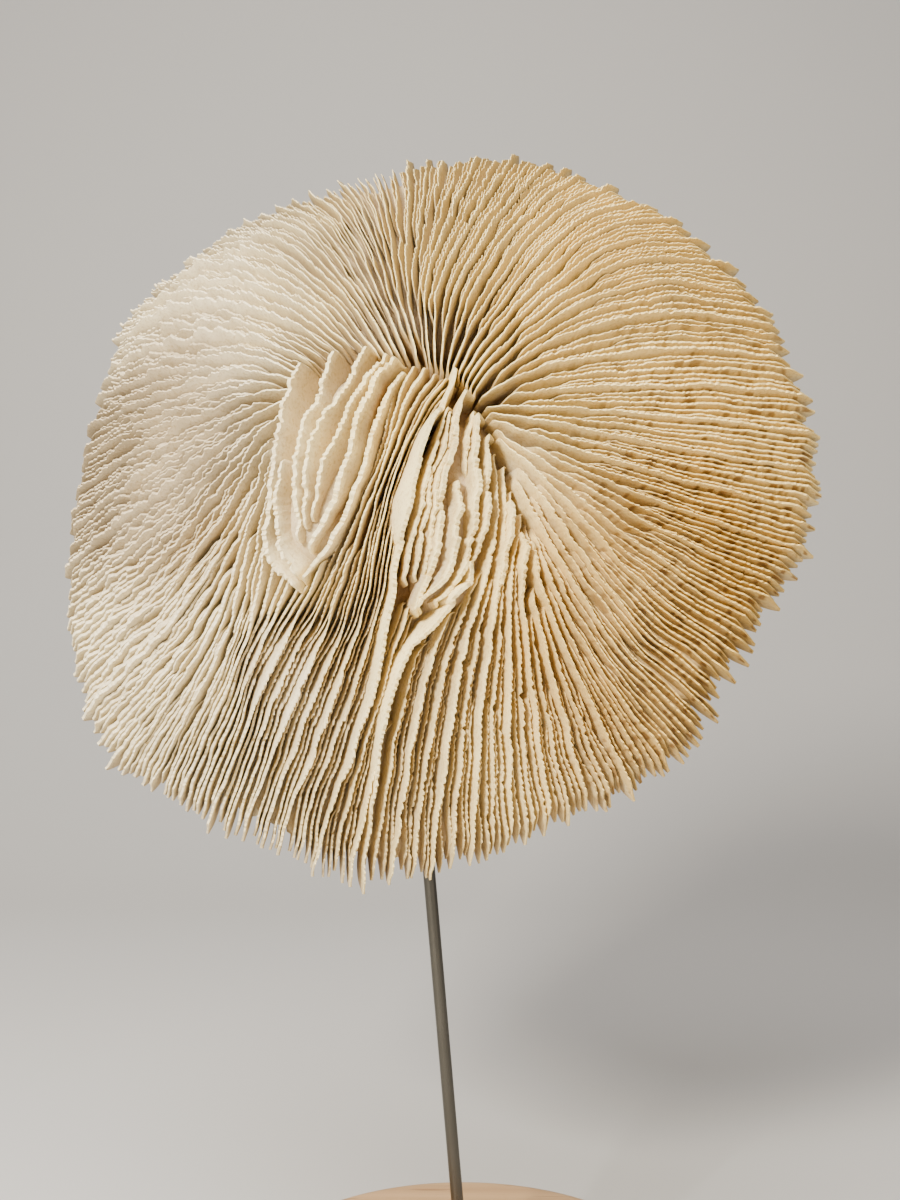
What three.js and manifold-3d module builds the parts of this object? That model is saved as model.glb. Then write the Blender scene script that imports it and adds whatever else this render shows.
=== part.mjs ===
// A mushroom coral skeleton carried by a thin steel rod on a round wooden base.
// Millimetres, +Z up. The origin is the middle of the base's underside, and the coral's face looks to -Y.
import * as THREE from 'three';
import { mergeVertices } from 'three/addons/utils/BufferGeometryUtils.js';
import Module from 'manifold-3d';

// Driving dimensions of the stand
const BASE_RADIUS = 50;
const BASE_HEIGHT = 18;
const BASE_EDGE_ROUND = 4;
const BASE_FOOT_CHAMFER = 1;
const ROD_RADIUS = 1.25;
const ROD_LEAN = THREE.MathUtils.degToRad(4.9);
const ROD_SHOWING = 82.2;
const ROD_IN_BASE = 12;
const ROD_IN_CORAL = 18;
const BORE_LEAD_IN = 10;
const FIT_GAP = 0.3;

// Driving dimensions of the coral, in its own frame: x right, y up the face, z out of the face
const CORAL_CENTRE = new THREE.Vector3(-8.4, 20.8, 178.1);
const CORAL_LEAN = THREE.MathUtils.degToRad(15);
const CORAL_TURN = THREE.MathUtils.degToRad(13);
const DOME_HEIGHT = 25;
const DOME_RADIUS = 84;
const RIM_UNDERSIDE = -4;
const UNDERSIDE_HOLLOW = 8;
const RIDGE_HEIGHT = 6;
const RIDGE_HEIGHT_AT_RIM = 4;
const RIDGE_SWELL = 0.14;
const MINOR_RIDGE_SHARE = 0.7;
const MINOR_RIDGE_START = 0.2;
const RIM_TOOTH = 2.5;
const COSTA_HEIGHT = 0.8;

// The mouth is an arched slit: points along it from left to right, its half width, and the pit it lies in
const MOUTH_LINE = [[-21, 14], [-14, 18.5], [-5, 20.5], [4, 19.5], [12, 15.5], [18, 9], [21, 2]];
const MOUTH_HALF_WIDTH = 1.6;
const MOUTH_PIT_DEPTH = 9;
const MOUTH_PIT_RADIUS = 6;

// Two long lobes stand below the mouth, each with a half width at its top and one at its foot
const LOBES = [
  { top: [-11, 12], foot: [-15.8, -20], halfWidth: [10.5, 7.5], height: 7 },
  { top: [15.5, 6], foot: [10.5, -26], halfWidth: [5.5, 7], height: 6 },
];

// Guide ridges, anticlockwise from the left end of the mouth's lower lip. Each one has its place round the
// mouth in degrees, two points that it passes, its bearing in degrees and radius at the rim, and the number
// of ridges from it up to the next guide.
const GUIDES = [
  { mouth: 20, near: [-24, -8], far: [-29, -37], rim: [235, 84], ridges: 5 },
  { mouth: 84, near: [-3, -4], far: [-17, -35], rim: [242, 82], ridges: 3 },
  { mouth: 101, near: [1, -3], far: [-7, -37], rim: [251, 81], ridges: 3 },
  { mouth: 119, near: [10, -5], far: [1, -32], rim: [259, 82.5], ridges: 4 },
  { mouth: 154, near: [21, -11], far: [6, -38], rim: [267, 82], ridges: 3 },
  { mouth: 168, near: [24, -16], far: [16, -46], rim: [279, 79.5], ridges: 5 },
  { mouth: 174, near: [27, -16], far: [34, -45], rim: [300, 77.5], ridges: 4 },
  { mouth: 180, near: [30, -15], far: [43, -36], rim: [316, 79.5], ridges: 5 },
  { mouth: 186, near: [35, -12], far: [52, -25], rim: [336, 76.5], ridges: 5 },
  { mouth: 193, near: [37, -2], far: [58, -6], rim: [356, 83], ridges: 4 },
  { mouth: 212, near: [38, 14], far: [59, 17], rim: [12, 83.5], ridges: 5 },
  { mouth: 228, near: [32, 31], far: [50, 42], rim: [32, 83], ridges: 5 },
  { mouth: 245, near: [23, 37], far: [36, 58], rim: [54, 82], ridges: 6 },
  { mouth: 262, near: [5, 39], far: [9, 62], rim: [82, 83.5], ridges: 6 },
  { mouth: 274, near: [-5, 38], far: [-16, 61], rim: [110, 82], ridges: 5 },
  { mouth: 284, near: [-17, 40], far: [-37, 58], rim: [131, 87.5], ridges: 5 },
  { mouth: 298, near: [-29, 36], far: [-53, 46], rim: [150, 91], ridges: 3 },
  { mouth: 325, near: [-37, 25], far: [-57, 26], rim: [161, 85], ridges: 5 },
  { mouth: 340, near: [-37, 10], far: [-56, 3], rim: [184, 83], ridges: 4 },
  { mouth: 350, near: [-34, -4], far: [-50, -20], rim: [203, 86], ridges: 4 },
  { mouth: 360, near: [-30, -17], far: [-43, -37], rim: [219, 89], ridges: 4 },
];

// Finishes: colour, roughness and metalness
const WOOD = finish(0xc39a6b, 0.6, 0);
const STEEL = finish(0x8f8f8c, 0.3, 1);
const BLEACHED_CORAL = finish(0xe6dcc6, 0.85, 0);

// Mesh fineness
const FACE_ROWS = 16;
const ROW_CROWDING = 1.25;
const UNDERSIDE_RINGS = [0.8, 0.56, 0.32, 0.12];
const ROD_SIDES = 24;
const BASE_SIDES = 48;
const EDGE_STEPS = 4;
const MOUTH_SAMPLES = 32;
const MERGE_DISTANCE = 1e-4;

const wasm = await Module();
wasm.setup();

// Closed geometry to a solid for cutting
function toSolid(geometry) {
  const bare = geometry.clone();
  bare.deleteAttribute('normal');
  bare.deleteAttribute('uv');
  const merged = mergeVertices(bare, MERGE_DISTANCE);
  const corners = merged.index.array;
  const triVerts = [];
  for (let i = 0; i < corners.length; i += 3) {
    const [a, b, c] = [corners[i], corners[i + 1], corners[i + 2]];
    if (a !== b && b !== c && c !== a) triVerts.push(a, b, c);
  }
  return new wasm.Manifold(new wasm.Mesh({
    numProp: 3,
    vertProperties: new Float32Array(merged.attributes.position.array),
    triVerts: new Uint32Array(triVerts),
  }));
}

// Solid back to a geometry for a mesh
function toGeometry(solid) {
  const mesh = solid.getMesh();
  const geometry = new THREE.BufferGeometry();
  geometry.setAttribute('position', new THREE.BufferAttribute(mesh.vertProperties, 3));
  geometry.setIndex(new THREE.BufferAttribute(mesh.triVerts, 1));
  geometry.computeVertexNormals();
  return geometry;
}

function cutAway(geometry, tool) {
  return toGeometry(toSolid(geometry).subtract(toSolid(tool)));
}

function finish(color, roughness, metalness) {
  return new THREE.MeshStandardMaterial({ color, roughness, metalness });
}

function namedMesh(name, geometry, material) {
  const mesh = new THREE.Mesh(geometry, material);
  mesh.name = name;
  return mesh;
}

function curveThrough(points, closed) {
  return new THREE.CatmullRomCurve3(points.map(([x, y]) => new THREE.Vector3(x, y, 0)), closed);
}

// Stand

const ROD_FOOT = new THREE.Vector3(0, 0, BASE_HEIGHT);
const ROD_DIRECTION = new THREE.Vector3(-Math.sin(ROD_LEAN), 0, Math.cos(ROD_LEAN));

// A round bar along the rod's line, between two distances measured from where the rod leaves the base
function barAlongRod(radius, from, to) {
  const bar = new THREE.CylinderGeometry(radius, radius, to - from, ROD_SIDES);
  bar.applyQuaternion(new THREE.Quaternion().setFromUnitVectors(new THREE.Vector3(0, 1, 0), ROD_DIRECTION));
  const middle = ROD_FOOT.clone().addScaledVector(ROD_DIRECTION, (from + to) / 2);
  return bar.translate(middle.x, middle.y, middle.z);
}

function baseGeometry() {
  const outline = [
    new THREE.Vector2(0, 0),
    new THREE.Vector2(BASE_RADIUS - BASE_FOOT_CHAMFER, 0),
    new THREE.Vector2(BASE_RADIUS, BASE_FOOT_CHAMFER),
  ];
  for (let step = 0; step <= EDGE_STEPS; step += 1) {
    const turn = (step / EDGE_STEPS) * (Math.PI / 2);
    outline.push(new THREE.Vector2(
      BASE_RADIUS - BASE_EDGE_ROUND * (1 - Math.cos(turn)),
      BASE_HEIGHT - BASE_EDGE_ROUND * (1 - Math.sin(turn)),
    ));
  }
  outline.push(new THREE.Vector2(0, BASE_HEIGHT));
  const disc = new THREE.LatheGeometry(outline, BASE_SIDES).rotateX(Math.PI / 2);
  const hole = barAlongRod(ROD_RADIUS + FIT_GAP, -ROD_IN_BASE - FIT_GAP, BASE_EDGE_ROUND);
  return cutAway(disc, hole);
}

// Coral

const mouthCurve = curveThrough(MOUTH_LINE, false);
const mouthPoints = mouthCurve.getPoints(MOUTH_SAMPLES);

// A point on the lips: 0 to 180 degrees runs along the lower lip from left to right, the rest back along
// the upper lip
function lipPoint(degrees) {
  const turn = THREE.MathUtils.degToRad(degrees);
  const along = (1 - Math.cos(turn)) / 2;
  const middle = mouthCurve.getPoint(along);
  const tangent = mouthCurve.getTangent(along);
  const reach = MOUTH_HALF_WIDTH * Math.sin(turn);
  return [middle.x + reach * tangent.y, middle.y - reach * tangent.x];
}

function rimPoint([bearing, radius]) {
  const turn = THREE.MathUtils.degToRad(bearing);
  return [radius * Math.cos(turn), radius * Math.sin(turn)];
}

// Four closed rings, from the mouth to the rim, that every ridge crosses
const rings = [
  curveThrough(GUIDES.map((guide) => lipPoint(guide.mouth)), true),
  curveThrough(GUIDES.map((guide) => guide.near), true),
  curveThrough(GUIDES.map((guide) => guide.far), true),
  curveThrough(GUIDES.map((guide) => rimPoint(guide.rim)), true),
];

function lobeHeight(point) {
  let height = 0;
  for (const lobe of LOBES) {
    const spine = new THREE.Line3(new THREE.Vector3(...lobe.top, 0), new THREE.Vector3(...lobe.foot, 0));
    const share = spine.closestPointToPointParameter(point, true);
    const halfWidth = THREE.MathUtils.lerp(...lobe.halfWidth, share);
    const reach = Math.min(1, spine.at(share, new THREE.Vector3()).distanceTo(point) / halfWidth);
    height = Math.max(height, lobe.height * Math.sqrt(1 - reach * reach));
  }
  return height;
}

function mouthDepth(point) {
  const distance = Math.min(...mouthPoints.map((sample) => sample.distanceTo(point)));
  return MOUTH_PIT_DEPTH * Math.exp(-((distance / MOUTH_PIT_RADIUS) ** 2));
}

// Height of the face between the ridges, over a point of the disc
function floorHeight(point) {
  const dome = DOME_HEIGHT * (1 - (point.length() / DOME_RADIUS) ** 2);
  return dome + lobeHeight(point) - mouthDepth(point);
}

function undersideHeight(radius) {
  return RIM_UNDERSIDE + UNDERSIDE_HOLLOW * (1 - (radius / DOME_RADIUS) ** 2);
}

// How far a ridge stands over the floor, from 0 at the mouth to its height at the rim. A minor ridge starts
// further out.
function ridgeRise(along, isMinor) {
  const start = isMinor ? MINOR_RIDGE_START : 0;
  const swell = THREE.MathUtils.smoothstep(along, start, start + RIDGE_SWELL);
  const height = THREE.MathUtils.lerp(RIDGE_HEIGHT, RIDGE_HEIGHT_AT_RIM, along * along);
  return swell * height * (isMinor ? MINOR_RIDGE_SHARE : 1);
}

// One column of vertices from the mouth over the rim to near the middle of the underside
function columnPoints(around, isCrest, isMinor) {
  const line = new THREE.CatmullRomCurve3(rings.map((ring) => ring.getPoint(around)));
  const points = [];
  for (let row = 0; row <= FACE_ROWS; row += 1) {
    const along = (row / FACE_ROWS) ** ROW_CROWDING;
    const point = line.getPoint(along);
    const height = floorHeight(point) + (isCrest ? ridgeRise(along, isMinor) : 0);
    const atRim = row === FACE_ROWS && !isCrest;
    if (atRim) point.setLength(point.length() - RIM_TOOTH);
    points.push(new THREE.Vector3(point.x, point.y, height));
  }
  const rim = line.getPoint(1);
  const rimRadius = rim.length() - RIM_TOOTH / 2;
  const costa = isCrest ? COSTA_HEIGHT : 0;
  for (const share of [1, ...UNDERSIDE_RINGS]) {
    const radius = rimRadius * share;
    const point = rim.clone().setLength(radius);
    points.push(new THREE.Vector3(point.x, point.y, undersideHeight(radius) - costa * share));
  }
  return points;
}

function coralColumns() {
  const columns = [];
  GUIDES.forEach((guide, index) => {
    for (let ridge = 0; ridge < guide.ridges; ridge += 1) {
      for (const isCrest of [true, false]) {
        const share = (ridge + (isCrest ? 0 : 0.5)) / guide.ridges;
        columns.push(columnPoints((index + share) / GUIDES.length, isCrest, ridge % 2 === 1));
      }
    }
  });
  return columns;
}

function coralGeometry() {
  const columns = coralColumns();
  const rows = columns[0].length;
  const vertices = columns.flat();
  const middle = vertices.length;
  vertices.push(new THREE.Vector3(0, 0, undersideHeight(0)));
  const triangles = [];
  columns.forEach((column, index) => {
    const here = index * rows;
    const next = ((index + 1) % columns.length) * rows;
    for (let row = 0; row < rows - 1; row += 1) {
      triangles.push(here + row, here + row + 1, next + row + 1);
      triangles.push(here + row, next + row + 1, next + row);
    }
    triangles.push(here + rows - 1, middle, next + rows - 1);
  });
  const lips = columns.map((column) => new THREE.Vector2(column[0].x, column[0].y));
  for (const corners of THREE.ShapeUtils.triangulateShape(lips, [])) {
    const isTurned = THREE.ShapeUtils.isClockWise(corners.map((corner) => lips[corner]));
    const ordered = isTurned ? [...corners].reverse() : corners;
    triangles.push(...ordered.map((corner) => corner * rows));
  }
  const geometry = new THREE.BufferGeometry();
  const coordinates = vertices.flatMap((vertex) => vertex.toArray());
  geometry.setAttribute('position', new THREE.Float32BufferAttribute(coordinates, 3));
  geometry.setIndex(triangles);
  return geometry;
}

// Assembly

const model = new THREE.Group();

const base = namedMesh('base', baseGeometry(), WOOD);
model.add(base);

const rodGeometry = barAlongRod(ROD_RADIUS, -ROD_IN_BASE, ROD_SHOWING + ROD_IN_CORAL);
model.add(namedMesh('rod', rodGeometry, STEEL));

const turned = new THREE.Group();
turned.position.copy(CORAL_CENTRE);
turned.rotation.z = -CORAL_TURN;
const leaned = new THREE.Group();
leaned.rotation.x = Math.PI / 2 - CORAL_LEAN;
turned.add(leaned);
model.add(turned);
model.updateMatrixWorld(true);

const boreEnd = ROD_SHOWING + ROD_IN_CORAL + FIT_GAP;
const bore = barAlongRod(ROD_RADIUS + FIT_GAP, ROD_SHOWING - BORE_LEAD_IN, boreEnd);
bore.applyMatrix4(leaned.matrixWorld.clone().invert());
const coral = namedMesh('coral', cutAway(coralGeometry(), bore), BLEACHED_CORAL);
leaned.add(coral);

export default model;
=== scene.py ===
"""Dresses a mushroom coral on its steel rod and wooden base, and sets its light and camera.

The coral is worked out in millimetres in the frame of its own disc (right, up the face, out of the face), and
placed in metres by the lean and turn that its solid has.
"""
import bisect
import logging
import math
from dataclasses import dataclass, field
from enum import Enum
from typing import Any

import bmesh
import bpy
import numpy as np
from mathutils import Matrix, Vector


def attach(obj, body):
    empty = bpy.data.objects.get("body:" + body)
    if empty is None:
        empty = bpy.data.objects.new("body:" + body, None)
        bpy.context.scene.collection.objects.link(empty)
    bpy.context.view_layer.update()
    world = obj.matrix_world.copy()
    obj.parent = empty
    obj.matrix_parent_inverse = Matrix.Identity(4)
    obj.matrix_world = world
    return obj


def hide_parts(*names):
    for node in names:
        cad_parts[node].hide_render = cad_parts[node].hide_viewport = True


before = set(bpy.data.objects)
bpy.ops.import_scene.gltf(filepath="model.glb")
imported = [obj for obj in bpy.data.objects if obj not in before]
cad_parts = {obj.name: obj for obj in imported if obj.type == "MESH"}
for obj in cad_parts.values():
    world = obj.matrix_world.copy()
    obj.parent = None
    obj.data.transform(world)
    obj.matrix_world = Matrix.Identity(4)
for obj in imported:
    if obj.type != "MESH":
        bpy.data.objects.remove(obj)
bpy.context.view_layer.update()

LOG = logging.getLogger("coral")
MM = 0.001
BODY = "root"


def srgb(red: int, green: int, blue: int) -> tuple[float, float, float, float]:
    """Turns a colour seen on a screen into a linear shader colour.

    Args:
        red: Red from 0 to 255.
        green: Green from 0 to 255.
        blue: Blue from 0 to 255.

    Returns:
        Linear red, green, blue and an alpha of 1.
    """
    shares = [channel / 255 for channel in (red, green, blue)]
    linear = [s / 12.92 if s <= 0.04045 else ((s + 0.055) / 1.055) ** 2.4 for s in shares]
    return (*linear, 1.0)


def ease(low: float, high: float, value: np.ndarray) -> np.ndarray:
    """Smooth step from 0 where a value is low to 1 where it is high."""
    share = np.clip((value - low) / (high - low), 0.0, 1.0)
    return share * share * (3 - 2 * share)


def swell(least: float, reach: float, distance: np.ndarray) -> np.ndarray:
    """Share that rises smoothly from least at a distance of 0 to 1 at the reach."""
    return least + (1 - least) * ease(0.0, reach, distance)


def rounded(distance: np.ndarray, reach: float) -> np.ndarray:
    """Share that rises as a quarter circle, from 0 at a distance of 0 to 1 at the reach."""
    return np.sqrt(1 - (1 - np.clip(distance / reach, 0.0, 1.0)) ** 2)


def run_length(line: np.ndarray) -> np.ndarray:
    """Distance along a line of points, from 0 at its first point."""
    return np.concatenate([[0.0], np.cumsum(np.linalg.norm(np.diff(line, axis=0), axis=1))])


def points_along(line: np.ndarray, far: np.ndarray) -> np.ndarray:
    """Points of a line on the disc, at distances along it."""
    length = run_length(line)
    return np.stack([np.interp(far, length, line[:, k]) for k in range(2)], axis=1)


def spline(points: np.ndarray, at: np.ndarray, closed: bool) -> np.ndarray:
    """Centripetal Catmull-Rom curve through points.

    Args:
        points: Points to pass, one row each.
        at: Places along the curve, from 0 to 1, with the spans of equal length.
        closed: Whether the curve joins its own start.

    Returns:
        One point for each place.
    """
    if closed:
        padded = np.vstack([points[-1:], points, points[:2]])
        spans = len(points)
        place = np.mod(at, 1.0) * spans
    else:
        padded = np.vstack([2 * points[0] - points[1], points, 2 * points[-1] - points[-2]])
        spans = len(points) - 1
        place = np.clip(at, 0.0, 1.0) * spans
    index = np.minimum(place.astype(int), spans - 1)
    t = (place - index)[:, None]
    p0, p1, p2, p3 = (padded[index + k] for k in range(4))

    def knot(a: np.ndarray, b: np.ndarray) -> np.ndarray:
        """Square root of the distance between two rows of points."""
        return np.maximum(np.sqrt(np.linalg.norm(b - a, axis=1, keepdims=True)), 1e-4)

    d0, d1, d2 = knot(p0, p1), knot(p1, p2), knot(p2, p3)
    m1 = ((p1 - p0) / d0 - (p2 - p0) / (d0 + d1) + (p2 - p1) / d1) * d1
    m2 = ((p2 - p1) / d1 - (p3 - p1) / (d1 + d2) + (p3 - p2) / d2) * d1
    return (
        (2 * t**3 - 3 * t**2 + 1) * p1
        + (t**3 - 2 * t**2 + t) * m1
        + (3 * t**2 - 2 * t**3) * p2
        + (t**3 - t**2) * m2
    )


class Signal:
    """A node socket that adds maths nodes where it is used in an expression."""

    def __init__(self, graph: "NodeGraph", socket: bpy.types.NodeSocket) -> None:
        """Keeps the graph and the socket."""
        self.graph = graph
        self.socket = socket

    @property
    def is_vector(self) -> bool:
        """Whether the socket carries a vector."""
        return self.socket.type == "VECTOR"

    def _join(self, operation: str, first: Any, second: Any) -> "Signal":
        """Adds a Math or Vector Math node for two operands.

        Args:
            operation: Name of the operation.
            first: Left operand.
            second: Right operand.

        Returns:
            The result.
        """
        vectors = [isinstance(v, Signal) and v.is_vector for v in (first, second)]
        if not any(vectors):
            return self.graph.math(operation, first, second)
        if operation == "MULTIPLY" and not all(vectors):
            vector, number = (first, second) if vectors[0] else (second, first)
            return self.graph.scaled(vector, number)
        return self.graph.vector(operation, first, second)

    def __add__(self, other: Any) -> "Signal":
        """self + other."""
        return self._join("ADD", self, other)

    def __radd__(self, other: Any) -> "Signal":
        """other + self."""
        return self._join("ADD", other, self)

    def __sub__(self, other: Any) -> "Signal":
        """self - other."""
        return self._join("SUBTRACT", self, other)

    def __rsub__(self, other: Any) -> "Signal":
        """other - self."""
        return self._join("SUBTRACT", other, self)

    def __mul__(self, other: Any) -> "Signal":
        """self * other."""
        return self._join("MULTIPLY", self, other)

    def __rmul__(self, other: Any) -> "Signal":
        """other * self."""
        return self._join("MULTIPLY", other, self)

    def __truediv__(self, other: Any) -> "Signal":
        """self / other."""
        return self._join("DIVIDE", self, other)

    def __pow__(self, other: Any) -> "Signal":
        """self ** other."""
        return self._join("POWER", self, other)


class NodeGraph:
    """A node tree that is written as expressions."""

    def __init__(self, tree: bpy.types.NodeTree) -> None:
        """Keeps the tree that nodes are added to."""
        self.tree = tree

    def feed(self, socket: bpy.types.NodeSocket, value: Any) -> None:
        """Links or sets a socket.

        Args:
            socket: Input to fill.
            value: A signal to link, or a plain value.
        """
        if isinstance(value, Signal):
            self.tree.links.new(value.socket, socket)
        else:
            socket.default_value = value

    def node(
        self, kind: str, settings: dict[str, Any] | None = None, inputs: dict[Any, Any] | None = None
    ) -> bpy.types.Node:
        """Adds a node.

        Args:
            kind: Blender's type name of the node.
            settings: Node properties, with a ramp's stops under "stops". They are set first.
            inputs: Values or signals by socket name or number.

        Returns:
            The new node.
        """
        made = self.tree.nodes.new(kind)
        for name, value in (settings or {}).items():
            if name == "stops":
                self._set_stops(made.color_ramp, value)
            else:
                setattr(made, name, value)
        for key, value in (inputs or {}).items():
            self.feed(made.inputs[key], value)
        return made

    @staticmethod
    def _set_stops(ramp: bpy.types.ColorRamp, stops: list[tuple[float, Any]]) -> None:
        """Gives a colour ramp its stops.

        Args:
            ramp: The ramp.
            stops: Place and colour of each stop.
        """
        while len(ramp.elements) < len(stops):
            ramp.elements.new(1.0)
        for element, (place, colour) in zip(ramp.elements, stops):
            element.position = place
            element.color = colour

    def signal(
        self,
        kind: str,
        settings: dict[str, Any] | None = None,
        inputs: dict[Any, Any] | None = None,
        output: int | str = 0,
    ) -> Signal:
        """Adds a node and returns the output of that name or number."""
        return Signal(self, self.node(kind, settings, inputs).outputs[output])

    def math(self, operation: str, *values: Any) -> Signal:
        """Adds a Math node for numbers."""
        return self.signal("ShaderNodeMath", {"operation": operation}, dict(enumerate(values)))

    def vector(self, operation: str, *values: Any) -> Signal:
        """Adds a Vector Math node whose result is a vector."""
        return self.signal("ShaderNodeVectorMath", {"operation": operation}, dict(enumerate(values)))

    def scaled(self, vector: Signal, number: Any) -> Signal:
        """Multiplies a vector by a number."""
        return self.signal("ShaderNodeVectorMath", {"operation": "SCALE"}, {0: vector, "Scale": number})

    def step(self, value: Any, low: float, high: float) -> Signal:
        """Smooth step of a value, from 0 at low to 1 at high."""
        settings = {"interpolation_type": "SMOOTHSTEP"}
        return self.signal("ShaderNodeMapRange", settings, {0: value, 1: low, 2: high, 3: 0.0, 4: 1.0})

    def noise(self, place: Signal, scale: float, detail: float = 2.0, roughness: float = 0.5) -> Signal:
        """Noise from about 0 to 1, with scale repeats for each unit of place."""
        inputs = {"Vector": place, "Scale": scale, "Detail": detail, "Roughness": roughness}
        return self.signal("ShaderNodeTexNoise", None, inputs)

    def triple(self, x: Any, y: Any, z: Any) -> Signal:
        """Makes a vector of three numbers."""
        return self.signal("ShaderNodeCombineXYZ", None, {0: x, 1: y, 2: z})


class ShaderGraph(NodeGraph):
    """The node tree of one material."""

    def __init__(self, name: str) -> None:
        """Starts a material with an empty tree.

        Args:
            name: Name of the material.
        """
        self.material = bpy.data.materials.new(name)
        self.material.use_nodes = True
        super().__init__(self.material.node_tree)
        self.tree.nodes.clear()

    def place(self) -> Signal:
        """Object coordinates, in metres."""
        return self.signal("ShaderNodeTexCoord", output="Object")

    def attribute(self, name: str) -> Signal:
        """A number that the mesh carries at its points."""
        return self.signal("ShaderNodeAttribute", {"attribute_name": name}, output="Fac")

    def parts(self, vector: Signal) -> list[Signal]:
        """The three numbers of a vector."""
        split = self.node("ShaderNodeSeparateXYZ", None, {0: vector})
        return [Signal(self, socket) for socket in split.outputs]

    def mixed(self, share: Any, first: Any, second: Any, blend: str = "MIX") -> Signal:
        """Mixes two colours by the share of the second."""
        settings = {"data_type": "RGBA", "blend_type": blend}
        return self.signal("ShaderNodeMix", settings, {0: share, 6: first, 7: second}, output=2)

    def ramp(self, value: Signal, stops: list[tuple[float, Any]]) -> Signal:
        """A colour by a value."""
        return self.signal("ShaderNodeValToRGB", {"stops": stops}, {0: value})

    def bump(self, height: Signal, distance: float, strength: float) -> Signal:
        """A normal from a height from 0 to 1, whose depth at 1 is the distance in metres."""
        inputs = {"Height": height, "Distance": distance, "Strength": strength}
        return self.signal("ShaderNodeBump", None, inputs)

    def surface(self, **sockets: Any) -> bpy.types.Material:
        """Ends the material in a Principled shader.

        Args:
            **sockets: Values by socket name, with _ for a space.

        Returns:
            The finished material.
        """
        inputs = {name.replace("_", " "): value for name, value in sockets.items()}
        shader = self.signal("ShaderNodeBsdfPrincipled", None, inputs)
        self.node("ShaderNodeOutputMaterial", None, {"Surface": shader})
        return self.material


class GeometryGraph(NodeGraph):
    """A geometry node tree with named inputs.

    crisp_angle is the angle between two faces, in radians, past which their edge stays sharp.
    """

    crisp_angle: float = 0.7

    def __init__(self, name: str) -> None:
        """Starts a tree that takes and gives a geometry.

        Args:
            name: Name of the tree.
        """
        super().__init__(bpy.data.node_groups.new(name, "GeometryNodeTree"))
        for direction in ("INPUT", "OUTPUT"):
            self.tree.interface.new_socket("Geometry", in_out=direction, socket_type="NodeSocketGeometry")
        self.entry = self.tree.nodes.new("NodeGroupInput")
        self.leave = self.tree.nodes.new("NodeGroupOutput")

    def size(self, name: str, kind: str = "NodeSocketFloat") -> Signal:
        """Adds a named input and returns it."""
        self.tree.interface.new_socket(name, in_out="INPUT", socket_type=kind)
        return Signal(self, self.entry.outputs[name])

    def source(self) -> Signal:
        """The geometry that comes in."""
        return Signal(self, self.entry.outputs["Geometry"])

    def named(self, name: str, data_type: str = "FLOAT") -> Signal:
        """A named attribute of the geometry."""
        return self.signal("GeometryNodeInputNamedAttribute", {"data_type": data_type}, {"Name": name})

    def store(self, geometry: Signal, name: str, value: Signal, data_type: str = "FLOAT") -> Signal:
        """Keeps a value at each point under a name.

        Args:
            geometry: Geometry to write on.
            name: Attribute name.
            value: Value to keep.
            data_type: Kind of the value.

        Returns:
            The geometry with the attribute.
        """
        settings = {"data_type": data_type, "domain": "POINT"}
        inputs = {"Geometry": geometry, "Name": name, "Value": value}
        return self.signal("GeometryNodeStoreNamedAttribute", settings, inputs)

    def end(self, geometry: Signal) -> None:
        """Ends the tree: smooth faces, real instances and the finish.

        Args:
            geometry: The finished geometry.
        """
        finish = self.size("Finish", "NodeSocketMaterial")
        smooth = self.signal("GeometryNodeSetShadeSmooth", None, {"Geometry": geometry})
        angle = self.signal("GeometryNodeInputMeshEdgeAngle")
        is_sharp = self.signal(
            "FunctionNodeCompare",
            {"operation": "GREATER_THAN", "data_type": "FLOAT"},
            {0: angle, 1: self.crisp_angle},
        )
        crisp = self.signal(
            "GeometryNodeSetShadeSmooth", {"domain": "EDGE"},
            {"Geometry": smooth, "Selection": is_sharp, "Shade Smooth": False},
        )
        real = self.signal("GeometryNodeRealizeInstances", None, {"Geometry": crisp})
        dressed = self.signal("GeometryNodeSetMaterial", None, {"Geometry": real, "Material": finish})
        self.feed(self.leave.inputs["Geometry"], dressed)

    def grow(self, source: bpy.types.Object, values: dict[str, Any]) -> bpy.types.Mesh:
        """Runs the tree on an object and returns a plain mesh.

        Args:
            source: Object with the starting mesh. It is removed.
            values: Values of the named inputs.

        Returns:
            The new mesh.
        """
        modifier = source.modifiers.new("grow", "NODES")
        modifier.node_group = self.tree
        for item in self.tree.interface.items_tree:
            if item.in_out == "INPUT" and item.name in values:
                modifier[item.identifier] = values[item.name]
        depsgraph = bpy.context.evaluated_depsgraph_get()
        evaluated = source.evaluated_get(depsgraph)
        mesh = bpy.data.meshes.new_from_object(evaluated, preserve_all_data_layers=True, depsgraph=depsgraph)
        source.modifiers.remove(modifier)
        spent = source.data
        bpy.data.objects.remove(source)
        bpy.data.meshes.remove(spent)
        return mesh


class Keeps(Enum):
    """Attributes that a finished mesh keeps for its material."""

    LEVEL = "level"
    TINT = "tint"
    DASH = "dash"


def as_object(name: str, mesh: bpy.types.Mesh) -> bpy.types.Object:
    """Links a mesh to the scene.

    Args:
        name: Name of the object and its mesh.
        mesh: The mesh.

    Returns:
        The new object, at the origin.
    """
    mesh.name = name
    made = bpy.data.objects.new(name, mesh)
    bpy.context.scene.collection.objects.link(made)
    return made


def face_outwards(mesh: bpy.types.Mesh) -> None:
    """Turns the faces of every closed shell outwards.

    Args:
        mesh: Mesh of closed shells, changed in place.
    """
    shells = bmesh.new()
    shells.from_mesh(mesh)
    bmesh.ops.recalc_face_normals(shells, faces=shells.faces)
    shells.to_mesh(mesh)
    shells.free()


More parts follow.
